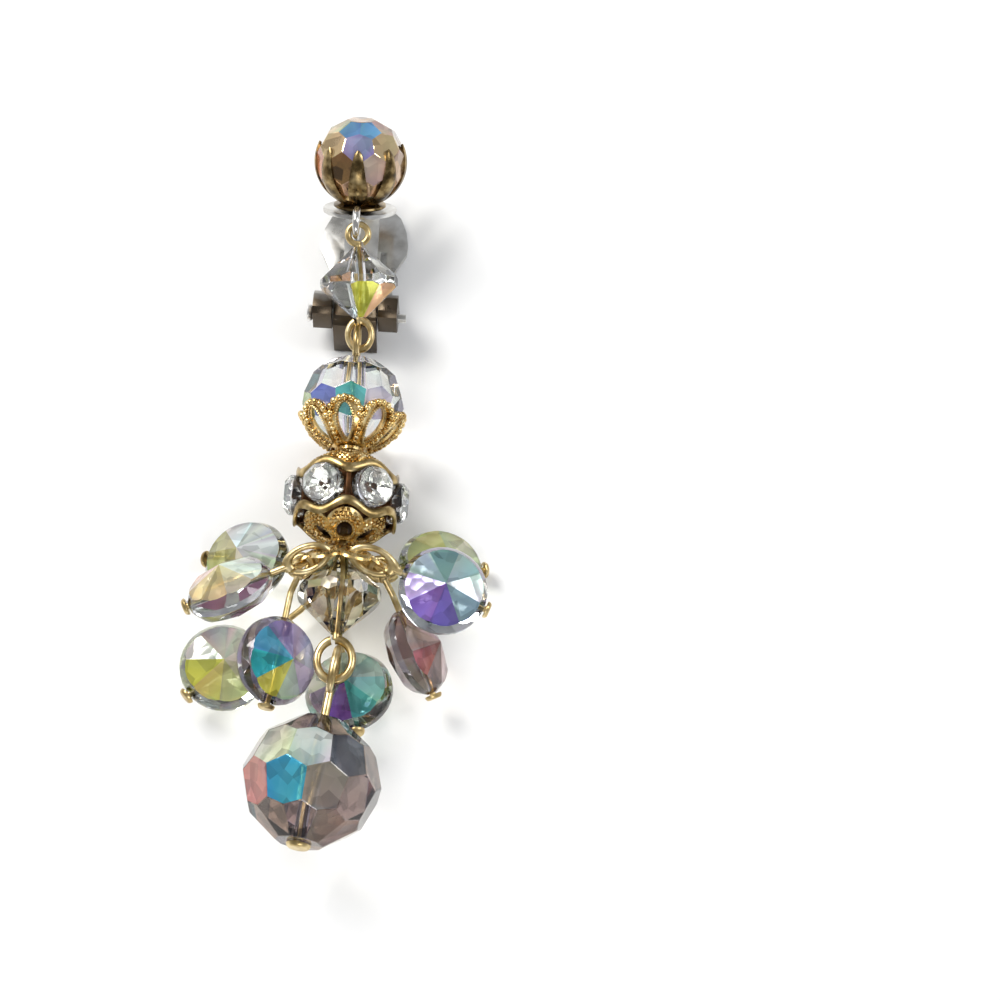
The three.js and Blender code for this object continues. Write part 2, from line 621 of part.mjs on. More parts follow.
// Last ball on its headed pin
const ballFrame = frameAt(BALL, BALL_AXIS, FRONT);
const ballBead = roundBead(BALL_RADIUS, BALL_HALF, 10, PIN_WIRE + 0.04 + BORE_GAP);
add("ball_crystal", CRYSTAL, ballBead.rotateZ(radians(18)), ballFrame);
const ballPin = fuse([
  rod(1.2, -BALL_HALF - 0.5, -BALL_HALF - 0.06, 12),
  rod(PIN_WIRE + 0.04, -BALL_HALF - 0.3, BALL_HALF + BALL_NECK - 1.71, 6),
  wireRing(1.15, PIN_WIRE, 1.6, 12, 6).rotateZ(Math.PI / 2).translate(0, 0, BALL_HALF + BALL_NECK),
]);
add("ball_pin", GOLD, ballPin, ballFrame);

const earring = new THREE.Group();
earring.name = "chandelier_earring";
for (const part of parts) {
  const material = new THREE.MeshStandardMaterial({ color: part.colour });
  material.metalness = part.colour === GOLD || part.colour === SILVER ? 1 : 0;
  material.roughness = 0.3;
  material.side = THREE.DoubleSide;
  const mesh = new THREE.Mesh(part.geometry, material);
  mesh.name = part.name;
  earring.add(mesh);
}

// The origin is the middle of the footprint, on the table
const bounds = new THREE.Box3().setFromObject(earring);
const middle = bounds.getCenter(new THREE.Vector3());
for (const mesh of earring.children) mesh.geometry.translate(-middle.x, -middle.y, -bounds.min.z);

export default earring;
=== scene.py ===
# %% [markdown]
# # A clip-on drop earring, dressed piece by piece
# The imported solids hold every place and size. This lesson gives each of them the surface
# and the small shapes of the real thing: cut glass with a rainbow coating, granulated gold
# caps, bent wire and a silver clip whose low end has painted shade. All sizes below are
# millimetres in the frame of the solids, and each mesh is turned to metres when it is finished.

import math
import random

import bmesh
import bpy
from mathutils import Matrix, Vector


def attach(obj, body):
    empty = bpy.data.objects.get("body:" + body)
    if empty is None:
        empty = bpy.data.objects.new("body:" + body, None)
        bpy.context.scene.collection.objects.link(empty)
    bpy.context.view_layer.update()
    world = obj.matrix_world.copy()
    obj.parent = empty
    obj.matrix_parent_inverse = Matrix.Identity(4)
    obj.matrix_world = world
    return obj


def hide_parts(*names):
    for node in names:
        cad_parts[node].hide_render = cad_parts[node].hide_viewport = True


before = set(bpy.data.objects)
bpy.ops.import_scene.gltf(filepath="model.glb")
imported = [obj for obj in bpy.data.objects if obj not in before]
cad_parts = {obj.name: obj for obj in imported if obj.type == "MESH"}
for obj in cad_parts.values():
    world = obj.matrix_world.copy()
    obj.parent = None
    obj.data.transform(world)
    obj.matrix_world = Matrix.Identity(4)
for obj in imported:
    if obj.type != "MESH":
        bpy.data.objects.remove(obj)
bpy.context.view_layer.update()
MM = 0.001  # one millimetre in metres
print("solids:", len(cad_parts))

# %% [markdown]
# ## Camera, light and table
# The photo looks down at a lying earring, so the camera stands 70 degrees above the table
# and far enough away for little perspective. Cut glass needs something to mirror: broad
# bright panels with dark between them make its facets flash, while an even white room would
# leave it grey. The table is pale and plain.

# %% Camera
SHIFT = Vector((-0.7942, 2.1156, -0.0371))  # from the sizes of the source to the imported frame
LOOK_AT = Vector((15.79, -2.01, 0.0)) + SHIFT
RISE = math.radians(70)
AWAY = 300.0
camera_data = bpy.data.cameras.new("camera")
camera_data.sensor_width = 36.0
camera_data.lens = 114.5
camera = bpy.data.objects.new("camera", camera_data)
bpy.context.collection.objects.link(camera)
camera.location = (LOOK_AT + AWAY * Vector((0, -math.cos(RISE), math.sin(RISE)))) * MM
camera.rotation_euler = (math.pi / 2 - RISE, 0, 0)
bpy.context.scene.camera = camera
print("camera at", [round(v / MM) for v in camera.location], "mm")

# %% Light panels
def light_panel(name, place, size, watts, colour=(1, 1, 1)):
    data = bpy.data.lights.new(name, "AREA")
    data.shape = "RECTANGLE"
    data.size = size[0] * MM
    data.size_y = size[1] * MM
    data.energy = watts
    data.color = colour
    lamp = bpy.data.objects.new(name, data)
    bpy.context.collection.objects.link(lamp)
    lamp.location = Vector(place) * MM
    lamp.rotation_euler = (Vector(place) * -1).to_track_quat("-Z", "Y").to_euler()
    print(f"{name}: {watts} W")


light_panel("window", (-170, 150, 250), (150, 150), 1.0, (1.0, 0.985, 0.96))
light_panel("fill", (230, 40, 200), (70, 180), 0.3, (0.95, 0.97, 1.0))
light_panel("front", (20, -240, 150), (140, 50), 0.14)
room = bpy.data.worlds.new("room")
bpy.context.scene.world = room
room.use_nodes = True
room.node_tree.nodes["Background"].inputs["Color"].default_value = (0.5, 0.51, 0.53, 1)
room.node_tree.nodes["Background"].inputs["Strength"].default_value = 0.72
bpy.context.scene.view_settings.view_transform = "Standard"

# %% [markdown]
# ## Finishes
# Every finish is one Principled shader fed by small procedural textures, so that it can be
# baked. Metals get wear and grain, glass gets its colour from the facets themselves. Four
# helpers do what each finish needs: start it, and add a noise, a colour ramp or a bump.

# %% Helpers for the finishes
def new_finish(name):
    finish = bpy.data.materials.new(name)
    finish.use_nodes = True
    shader = finish.node_tree.nodes["Principled BSDF"]
    return finish, finish.node_tree.nodes, finish.node_tree.links, shader


def noise_of(nodes, links, scale, detail=4.0):
    place = nodes.new("ShaderNodeTexCoord")
    noise = nodes.new("ShaderNodeTexNoise")
    noise.inputs["Scale"].default_value = scale
    noise.inputs["Detail"].default_value = detail
    links.new(place.outputs["Object"], noise.inputs["Vector"])
    return noise


def ramp_of(nodes, links, source, stops):
    ramp = nodes.new("ShaderNodeValToRGB")
    for i, (at, colour) in enumerate(stops):
        stop = ramp.color_ramp.elements[i] if i < 2 else ramp.color_ramp.elements.new(at)
        stop.position = at
        stop.color = (*colour, 1)
    links.new(source, ramp.inputs["Fac"])
    return ramp


def bump_of(nodes, links, source, shader, strength, distance):
    bump = nodes.new("ShaderNodeBump")
    bump.inputs["Strength"].default_value = strength
    bump.inputs["Distance"].default_value = distance * MM
    links.new(source, bump.inputs["Height"])
    links.new(bump.outputs["Normal"], shader.inputs["Normal"])


# %% [markdown]
# Plated metal isn't one colour. The plating darkens in the hollows and rubs bright on the
# high places, so the colour runs over a ramp that a fine noise drives, and the same noise
# roughens it. The gold comes in five: the granulated caps, the duller wire, the old gold of
# the wavy bands, the bronze of the claw cup, and the near-black brown behind the stones. Each
# finish names its dark, middle and bright colour and where on the noise they lie.

# %% Metals
def metal_finish(name, stops, rough, scale=900, grain=0.012):
    finish, nodes, links, shader = new_finish(name)
    shader.inputs["Metallic"].default_value = 1.0
    noise = noise_of(nodes, links, scale)
    colour = ramp_of(nodes, links, noise.outputs["Fac"], stops)
    links.new(colour.outputs["Color"], shader.inputs["Base Color"])
    gloss = nodes.new("ShaderNodeMapRange")
    gloss.inputs["To Min"].default_value = rough[0]
    gloss.inputs["To Max"].default_value = rough[1]
    links.new(noise.outputs["Fac"], gloss.inputs["Value"])
    links.new(gloss.outputs["Result"], shader.inputs["Roughness"])
    fine = noise_of(nodes, links, scale * 3.5, 2.0)
    bump_of(nodes, links, fine.outputs["Fac"], shader, 0.35, grain)
    return finish


cap_gold = metal_finish("cap_gold", [(0.3, (0.34, 0.19, 0.05)), (0.5, (0.8, 0.56, 0.22)),
    (0.7, (1.0, 0.84, 0.48))], (0.16, 0.36))
wire_gold = metal_finish("wire_gold", [(0.3, (0.36, 0.25, 0.1)), (0.5, (0.62, 0.47, 0.22)),
    (0.7, (0.88, 0.73, 0.43))], (0.24, 0.42))
old_gold = metal_finish("old_gold", [(0.3, (0.13, 0.085, 0.03)), (0.5, (0.38, 0.27, 0.11)),
    (0.72, (0.72, 0.58, 0.32))], (0.2, 0.42))
bronze = metal_finish("bronze", [(0.3, (0.04, 0.026, 0.01)), (0.48, (0.15, 0.1, 0.04)),
    (0.68, (0.5, 0.37, 0.18))], (0.16, 0.4))
dark_gold = metal_finish("dark_gold", [(0.3, (0.03, 0.014, 0.006)), (0.6, (0.1, 0.045, 0.02)),
    (0.8, (0.2, 0.1, 0.04))], (0.35, 0.6))
clip_grey = metal_finish("clip_grey", [(0.3, (0.42, 0.41, 0.38)), (0.5, (0.64, 0.63, 0.6)),
    (0.72, (0.84, 0.84, 0.82))], (0.2, 0.4), 500)
foil = metal_finish("foil", [(0.3, (0.66, 0.66, 0.64)), (0.5, (0.92, 0.92, 0.9)),
    (0.7, (1.0, 1.0, 1.0))], (0.14, 0.28), 1200)
ring_silver = metal_finish("ring_silver", [(0.3, (0.5, 0.48, 0.44)), (0.5, (0.76, 0.75, 0.72)),
    (0.7, (0.92, 0.92, 0.9))], (0.12, 0.28))
pale_pin = metal_finish("pale_pin", [(0.3, (0.6, 0.59, 0.56)), (0.5, (0.86, 0.85, 0.82)),
    (0.7, (1.0, 1.0, 0.98))], (0.3, 0.5))
print("metals:", [finish.name for finish in bpy.data.materials])


# %% [markdown]
# The low end of the clip, round its pin, faces away from the light, and that shade is painted
# into its colour. That isn't a pattern but a place, so the dark colour of painted shade is mixed
# in by the height along the earring, with a little noise so that its edge wanders.

# %% Painted shade on the low end of the clip
def painted_shade_below(finish, low, high, wander_by, colour):
    nodes, links = finish.node_tree.nodes, finish.node_tree.links
    base = nodes["Principled BSDF"].inputs["Base Color"]
    place = nodes.new("ShaderNodeTexCoord")
    split = nodes.new("ShaderNodeSeparateXYZ")
    links.new(place.outputs["Object"], split.inputs["Vector"])
    wander = noise_of(nodes, links, 600, 3.0)
    sum_up = nodes.new("ShaderNodeMath")
    sum_up.operation = "MULTIPLY_ADD"
    sum_up.inputs[1].default_value = wander_by * MM
    links.new(wander.outputs["Fac"], sum_up.inputs[0])
    links.new(split.outputs["Y"], sum_up.inputs[2])
    dark = nodes.new("ShaderNodeMapRange")
    dark.inputs["From Min"].default_value = low * MM
    dark.inputs["From Max"].default_value = high * MM
    dark.inputs["To Min"].default_value = 1.0
    dark.inputs["To Max"].default_value = 0.0
    links.new(sum_up.outputs["Value"], dark.inputs["Value"])
    mix = nodes.new("ShaderNodeMix")
    mix.data_type = "RGBA"
    links.new(dark.outputs["Result"], mix.inputs["Factor"])
    links.new(base.links[0].from_socket, mix.inputs["A"])
    mix.inputs["B"].default_value = (*colour, 1)
    links.new(mix.outputs["Result"], base)


# painted shade: the colour darkens the low end of the clip, where it faces away from the light
painted_shade_below(clip_grey, 18.9, 21.0, 1.6, (0.085, 0.065, 0.045))
print("the clip's low end is dark")

# %% [markdown]
# Cut glass here has a coating that flashes another colour on each facet. Real coatings are
# thin films, which a baked model can't carry, so the corners of each facet store its colour
# in an attribute named tint. Clear facets let nearly all light through; a flashing facet
# takes a second finish that lets less through and mirrors more. A cut stone also shows
# reflections of its own back facets, and here these are painted: a Voronoi texture breaks each
# facet into a few lighter and darker shards of painted reflection and painted shade, and tilts
# them a little on the finishes that mirror. Light that only casts a shadow passes straight
# through, because the bright patterns under glass would take very long to render.
#
# A glass finish is told how much light goes through, how rough it is, how much clear coat it
# has, how dark the darkest shard of painted reflection is, how much of a mirror it is and how far
# the shards tilt.

# %% Glass
GLASS_IOR = 1.52


def glass_finish(name, through, rough, coat, darkest_reflection=0.4, mirror=0.0, tilt=0.0):
    finish, nodes, links, shader = new_finish(name)
    tint = nodes.new("ShaderNodeAttribute")
    tint.attribute_name = "tint"
    place = nodes.new("ShaderNodeTexCoord")
    shards = nodes.new("ShaderNodeTexVoronoi")
    shards.inputs["Scale"].default_value = 760
    links.new(place.outputs["Object"], shards.inputs["Vector"])
    split = nodes.new("ShaderNodeSeparateColor")
    links.new(shards.outputs["Color"], split.inputs["Color"])
    # painted reflections: lighter and darker shards in the base colour stand for the back facets
    # seen in the stone
    depth = ramp_of(nodes, links, split.outputs["Red"], [(0.0, (darkest_reflection, darkest_reflection, darkest_reflection * 1.02)),
        (0.55, (0.93, 0.93, 0.93)), (1.0, (1.0, 1.0, 1.0))])
    tint_and_reflections = nodes.new("ShaderNodeMix")
    tint_and_reflections.data_type = "RGBA"
    tint_and_reflections.blend_type = "MULTIPLY"
    tint_and_reflections.inputs["Factor"].default_value = 1.0
    links.new(tint.outputs["Color"], tint_and_reflections.inputs["A"])
    links.new(depth.outputs["Color"], tint_and_reflections.inputs["B"])
    links.new(tint_and_reflections.outputs["Result"], shader.inputs["Base Color"])
    if tilt:
        bump_of(nodes, links, shards.outputs["Distance"], shader, tilt, 0.25)
    shader.inputs["Roughness"].default_value = rough
    shader.inputs["IOR"].default_value = GLASS_IOR
    shader.inputs["Transmission Weight"].default_value = through
    shader.inputs["Metallic"].default_value = mirror
    shader.inputs["Coat Weight"].default_value = coat
    shader.inputs["Coat Roughness"].default_value = 0.02
    out = nodes["Material Output"]
    clear = nodes.new("ShaderNodeBsdfTransparent")
    clear.inputs["Color"].default_value = (0.9, 0.9, 0.88, 1)
    path = nodes.new("ShaderNodeLightPath")
    pick = nodes.new("ShaderNodeMixShader")
    links.new(path.outputs["Is Shadow Ray"], pick.inputs["Fac"])
    links.new(shader.outputs["BSDF"], pick.inputs[1])
    links.new(clear.outputs["BSDF"], pick.inputs[2])
    links.new(pick.outputs["Shader"], out.inputs["Surface"])
    return finish


clear_glass = glass_finish("clear_glass", 1.0, 0.0, 0.0, 0.62)
flash_glass = glass_finish("flash_glass", 0.4, 0.14, 0.15, 0.55, 0.15, 0.35)
bronze_glass = glass_finish("bronze_glass", 0.2, 0.12, 0.5, 0.25, 0.6, 0.5)
stone_glass = glass_finish("stone_glass", 1.0, 0.0, 0.0, 0.75)
print("with the glass:", len(bpy.data.materials), "finishes")

# %% [markdown]
# ## Placing and finishing a piece
# Each piece is modelled upright around its own axis, with z up its bore and -y toward the
# viewer, and then laid in its place. The frame of a piece is worked out from where it is,
# which way its bore runs and which way it faces. The last step is the same for all of them:
# turn the sizes to metres, mark the sharp edges, name the finishes, tell the frame which
# body the piece rides on, and hide the solids it stands in for.

# %% Frames and the last step of a piece
UP = Vector((0, 0, 1))


def frame_at(at, up, front=UP):
    z = Vector(up).normalized()
    y = -Vector(front)
    y = (y - z * y.dot(z)).normalized()
    x = y.cross(z)
    place = Matrix((x, y, z)).transposed().to_4x4()
    return Matrix.Translation(Vector(at) + SHIFT) @ place


def finish_piece(name, bm, place, finishes, nodes=(), body="earring", smooth=35):
    bm.transform(Matrix.Diagonal((MM, MM, MM, 1)) @ place)
    mesh = bpy.data.meshes.new(name)
    if smooth is not None:
        limit = math.radians(smooth)
        for face in bm.faces:
            face.smooth = True
        for edge in bm.edges:
            edge.smooth = len(edge.link_faces) == 2 and edge.calc_face_angle(0) < limit
    bm.to_mesh(mesh)
    triangles = sum(len(face.verts) - 2 for face in bm.faces)
    bm.free()
    for finish in finishes:
        mesh.materials.append(finish)
    piece = bpy.data.objects.new(name, mesh)
    bpy.context.collection.objects.link(piece)
    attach(piece, body)
    if nodes:
        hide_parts(*nodes)
    print(f"{name}: {triangles} triangles")


# %% [markdown]
# ## The clip
# The clip is stamped sheet: a stem with a round dish, a paddle with two slots, and a pin.
# Their solids already have the right shape, but a stamped part has no knife edges. A copy
# of each solid is merged into clean faces, and its sharp edges get a narrow round.

# %% Rounded copies of the clip's solids
def rounded_copy(node, width, body):
    bm = bmesh.new()
    bm.from_mesh(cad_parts[node].data)
    bmesh.ops.remove_doubles(bm, verts=bm.verts[:], dist=2e-6)
    bmesh.ops.dissolve_limit(bm, angle_limit=math.radians(1.5), verts=bm.verts[:],
        edges=bm.edges[:])
    sharp = [e for e in bm.edges if len(e.link_faces) == 2 and e.calc_face_angle(0) > 0.6]
    bmesh.ops.bevel(bm, geom=sharp, offset=width * MM, offset_type="OFFSET", affect="EDGES",
        segments=2, profile=0.5, material=-1, clamp_overlap=True)
    bm.transform(Matrix.Diagonal((1 / MM, 1 / MM, 1 / MM, 1)))
    finish_piece(node + "_metal", bm, Matrix.Identity(4), [clip_grey], [node], body)


rounded_copy("clip_front", 0.09, "earring")
rounded_copy("clip_paddle", 0.1, "paddle")

# %% [markdown]
# ## Cut glass
# A stone is cut as a cutter does it: start from a rough block and grind flat after flat.
# bisect_plane takes away what lies outside one plane, and edgeloop_fill closes the cut with
# a face, which is the new facet. The rows of facets are the same as those of the solid, so
# the stone keeps its form. Each facet then takes a colour.

# %% Facet rows and the cutting
def facet_rows(rows):
    """Facets from rows of (latitude in degrees, how many, share of a step turned, distance)"""
    facets = []
    for latitude, count, shift, distance in rows:
        for i in range(count):
            turn = 2 * math.pi * (i + shift) / count
            flat = math.cos(math.radians(latitude))
            high = math.sin(math.radians(latitude))
            facets.append((Vector((flat * math.cos(turn), flat * math.sin(turn), high)), distance))
    return facets


def cut_stone(size, facets):
    bm = bmesh.new()
    bmesh.ops.create_cube(bm, size=2 * size)
    for normal, distance in facets:
        whole = bm.verts[:] + bm.edges[:] + bm.faces[:]
        done = bmesh.ops.bisect_plane(bm, geom=whole, dist=1e-4, plane_co=normal * distance,
            plane_no=normal, clear_outer=True)
        rim = [e for e in done["geom_cut"] if isinstance(e, bmesh.types.BMEdge)]
        if len(rim) > 2:
            bmesh.ops.edgeloop_fill(bm, edges=rim)
    bmesh.ops.recalc_face_normals(bm, faces=bm.faces[:])
    return bm


# %% [markdown]
# The bore goes through two opposite flats. Each flat is inset, its inner ring is made round
# and its face taken out, and the two rings are bridged into a tube, which is the wall of the
# bore. A flat with too few corners for a round ring first gets more on its edges.

# %% Drilling
def end_flats(bm, axis):
    """The two flats that face along the bore, and the larger one where two face alike"""
    return [max(bm.faces, key=lambda f: (round(f.normal.dot(axis) * side, 4), f.calc_area()))
        for side in (1, -1)]


def drill(bm, axis, radius, corners=0):
    for flat in end_flats(bm, axis):
        cuts = math.ceil(corners / len(flat.verts)) - 1
        if cuts > 0:
            bmesh.ops.subdivide_edges(bm, edges=flat.edges[:], cuts=cuts, use_grid_fill=False)
    ends = end_flats(bm, axis)
    rings = []
    for flat in ends:
        bmesh.ops.inset_individual(bm, faces=[flat], thickness=0.05)
        middle = axis * flat.calc_center_median().dot(axis)
        for vert in flat.verts:
            out = vert.co - middle
            out -= axis * out.dot(axis)
            vert.co = middle + out.normalized() * radius
        rings += flat.edges[:]
    bmesh.ops.delete(bm, geom=ends, context="FACES_ONLY")
    bmesh.ops.bridge_loops(bm, edges=rings)


# %% [markdown]
# Colour comes next. Directions are told as the viewer sees them: right, up the earring, and
# toward the viewer. Each flash names a direction and a colour, and the facets that face it
# best take that colour. The rest get one of the bead's quiet tones by a seeded draw. The fan
# of a disc is told otherwise, as eight colours clockwise from 12. Every corner then drifts a
# little from its facet's colour. Last, a narrow bevel on each edge catches the light.

# %% Colouring the facets
VIEW_UP = Vector((0, math.sin(RISE), math.cos(RISE)))
VIEW_FRONT = Vector((0, -math.cos(RISE), math.sin(RISE)))
FLASH_AREA = 0.15  # a smaller facet, in square millimetres, never flashes
FAN_FACING = 0.8  # how nearly a facet of the fan faces the way its disc does


def clock_of(normal, axis):
    """Which eighth of a turn from 12 o'clock a facet leans to, as the viewer sees it"""
    lean = normal - axis * normal.dot(axis)
    return round(math.atan2(lean.x, lean.dot(VIEW_UP)) / (math.pi / 4)) % 8


def colour_facets(bm, place, tones, flashes, seed, reach=0.9, fan=None):
    draw = random.Random(seed)
    tint = bm.loops.layers.float_color.new("tint")
    turn = place.to_3x3()
    ahead = turn @ Vector((0, -1, 0))
    facings = []
    for right, high, near, colour in flashes:
        facing = Vector((right, 0, 0)) + VIEW_UP * high + VIEW_FRONT * near
        facings.append((facing.normalized(), colour))
    for face in bm.faces:
        normal = turn @ face.normal
        colour = draw.choice(tones)
        face.material_index = 0
        best = max(facings, key=lambda f: f[0].dot(normal), default=None)
        if best and best[0].dot(normal) > reach and face.calc_area() > FLASH_AREA:
            colour = best[1]
            face.material_index = 1
        if fan and normal.dot(ahead) > FAN_FACING:
            colour = fan[clock_of(normal, ahead)]
            face.material_index = 1
        lift = 0.2 if face.material_index == 0 else 0.4
        for loop in face.loops:
            shade = draw.uniform(1 - lift, 1 + lift * 0.4)
            drift = [draw.uniform(1 - lift * 0.5, 1 + lift * 0.3) for _ in range(3)]
            loop[tint] = (*(min(1.0, c * shade * d) for c, d in zip(colour, drift)), 1)


def glint_edges(bm, width):
    edges = [e for e in bm.edges if len(e.link_faces) == 2 and e.calc_face_angle(0) > 0.22]
    bmesh.ops.bevel(bm, geom=edges, offset=width, offset_type="OFFSET", affect="EDGES", segments=1,
        profile=0.5, material=-1, clamp_overlap=True)


def glass_piece(node, bm, place, tones, flashes, seed, reach=0.9, bevel=0.045, rim=None,
        base=None, fan=None):
    """rim: the axis of a bead whose rim is polished round; base: the glass of clear facets"""
    colour_facets(bm, place, tones, flashes, seed, reach, fan)
    glint_edges(bm, bevel)
    if rim:
        for face in bm.faces:
            face.smooth = abs(face.normal.dot(rim)) < 0.6
        for edge in bm.edges:
            edge.smooth = all(face.smooth for face in edge.link_faces)
    finish_piece(node.replace("_crystal", "") + "_glass", bm, place,
        [base or clear_glass, flash_glass], [node], smooth=None)


# %% [markdown]
# ### The straight run
# The long pin carries the round bead, the stone-set ball, the drop cap and the lower
# bicone. One line of sizes per bead, the same as the solids have, with AT for the place along
# the pin. The colours that several beads share have names too.

# %% Sizes and colours of the run
RUN_CENTRE = Vector((1.6, -4.2, 6.2))
RUN_AXIS = Vector((0.052, 1, 0.002)).normalized()
ROUND_RADIUS, ROUND_HALF, ROUND_AT = 4.6, 3.9, 9.6
SET_RADIUS, SET_HALF = 4.9, 4.6
LOWER_RADIUS, LOWER_HALF, LOWER_AT = 3.9, 3.75, -9.3
DROP_CAP_AT = -4.75
PIN_WIRE, DROP_WIRE, BORE_GAP = 0.36, 0.3, 0.2


def run_frame(along):
    return frame_at(RUN_CENTRE + RUN_AXIS * along, RUN_AXIS)


GREY = (0.6, 0.63, 0.65)
PALE = (0.93, 0.95, 0.96)
LILAC = (0.62, 0.56, 0.72)
BLUSH = (0.72, 0.6, 0.56)
MINT = (0.56, 0.84, 0.76)
print("the run is", round(ROUND_AT + ROUND_HALF - LOWER_AT + LOWER_HALF, 2), "mm long")

# %% [markdown]
# A round bead has two rows of facets above its waist and two below, each row turned by half
# a facet against its neighbour. A bicone has one row each side of a narrow girdle.

# %% Round bead
def round_bead(radius, half, count, bore):
    flats = [(90, 1, 0, half), (-90, 1, 0, half)]
    for side, shift in ((1, 0), (-1, 0.5)):
        flats.append((side * 19, count, shift, radius * 0.955))
        flats.append((side * 52, count, shift + 0.5, radius * 0.95))
    bm = cut_stone(radius * 1.3, facet_rows(flats))
    drill(bm, UP, bore)
    return bm


glass_piece("round_crystal", round_bead(ROUND_RADIUS, ROUND_HALF, 10, PIN_WIRE + BORE_GAP),
    run_frame(ROUND_AT), [PALE, GREY, LILAC, PALE], [
        (-0.65, 0.25, 0.7, (0.14, 0.2, 0.6)),
        (-0.3, 0.05, 0.95, (0.1, 0.6, 0.58)),
        (-0.85, 0.05, 0.5, (0.42, 0.5, 0.26)),
        (0.5, 0.1, 0.85, (0.66, 0.62, 0.72)),
    ], 3, 0.95)


# %% Bicones
def bicone(radius, half, count, bore):
    slope = math.degrees(math.atan2(half + 0.35, radius))
    facing = 90 - slope
    away = (half + 0.55) * math.sin(math.radians(facing))
    rows = [(90, 1, 0, half), (-90, 1, 0, half), (0, 2 * count, 0.5, radius * 0.965),
        (facing, count, 0.25, away), (-facing, count, 0.25, away)]
    bm = cut_stone(radius * 1.3, facet_rows(rows))
    drill(bm, UP, bore)
    return bm


BICONE_RADIUS, BICONE_HALF = 3.7, 3.35
BICONE_PLACE = frame_at((2.56, 16.55, 8.57), (-0.02, 0.964, 0.267))
glass_piece("bicone_crystal", bicone(BICONE_RADIUS, BICONE_HALF, 8, DROP_WIRE + BORE_GAP),
    BICONE_PLACE, [PALE, GREY, PALE], [
        (0.35, -0.5, 0.78, (0.72, 0.74, 0.06)),
        (0.8, -0.35, 0.45, (0.95, 0.5, 0.18)),
        (0.85, 0.4, 0.3, (0.8, 0.62, 0.52)),
    ], 11, 0.93)
glass_piece("lower_bicone", bicone(LOWER_RADIUS, LOWER_HALF, 8, PIN_WIRE + BORE_GAP),
    run_frame(LOWER_AT),
    [(0.84, 0.8, 0.64), (0.72, 0.68, 0.52), (0.9, 0.88, 0.76)], [
        (0.75, 0.3, 0.55, (0.25, 0.32, 0.2)),
        (-0.35, 0.3, 0.88, (0.7, 0.62, 0.36)),
    ], 5, 0.95)

# %% [markdown]
# The last ball is the same cut, larger and of smoky glass. It lies turned by half a facet, so
# that one large facet near its top meets the viewer.

# %% Ball at the end
BALL_RADIUS, BALL_HALF, BALL_WIRE = 6.1, 5.75, 0.4
BALL_LOOP = Vector((0.763, -20.661, 6.2))  # centre of the loop that it hangs from
BALL_NECK = 4.86  # from the ball up to that centre
BALL_AXIS = Vector((0.172, 0.982, -0.02)).normalized()
BALL_PLACE = frame_at(BALL_LOOP - BALL_AXIS * (BALL_HALF + BALL_NECK), BALL_AXIS)
smoky_glass = glass_finish("smoky_glass", 0.97, 0.01, 0.0, 0.22)
ball = round_bead(BALL_RADIUS, BALL_HALF, 10, BALL_WIRE + BORE_GAP)
bmesh.ops.rotate(ball, verts=ball.verts[:], matrix=Matrix.Rotation(math.radians(18), 3, "Z"))
glass_piece("ball_crystal", ball, BALL_PLACE,
    [(0.48, 0.47, 0.45), (0.14, 0.13, 0.13), (0.36, 0.29, 0.33), (0.38, 0.28, 0.22),
        (0.78, 0.76, 0.72)], [
        (0.0, 0.5, 0.86, (0.88, 1.0, 0.97)),
        (-0.41, 0.65, 0.64, (0.9, 0.92, 0.66)),
        (-0.68, 0.2, 0.7, (0.7, 0.3, 0.24)),
        (-0.43, 0.0, 0.9, (0.05, 0.52, 0.88)),
        (0.5, 0.46, 0.73, (0.13, 0.15, 0.19)),
        (0.15, -0.15, 0.97, (0.34, 0.33, 0.29)),
        (0.46, -0.57, 0.68, (0.28, 0.17, 0.13)),
    ], 21, 0.95, 0.06, base=smoky_glass)

# %% [markdown]
# ### The disc drops
# A drop is a thick lens with eight facets that meet in a point on each face and a smooth
# rim, ground here in many narrow flats. Its bore runs across, from rim to rim.
#
# Each drop has a row in the table: the hole of the cap that it hangs from, as an angle
# petal, the size of its loop and how long that is drawn, where the disc's centre is, which
# way the disc faces, where its wire bends if it does, the quiet tones of its rim and back,
# and the fan of colours on its front.

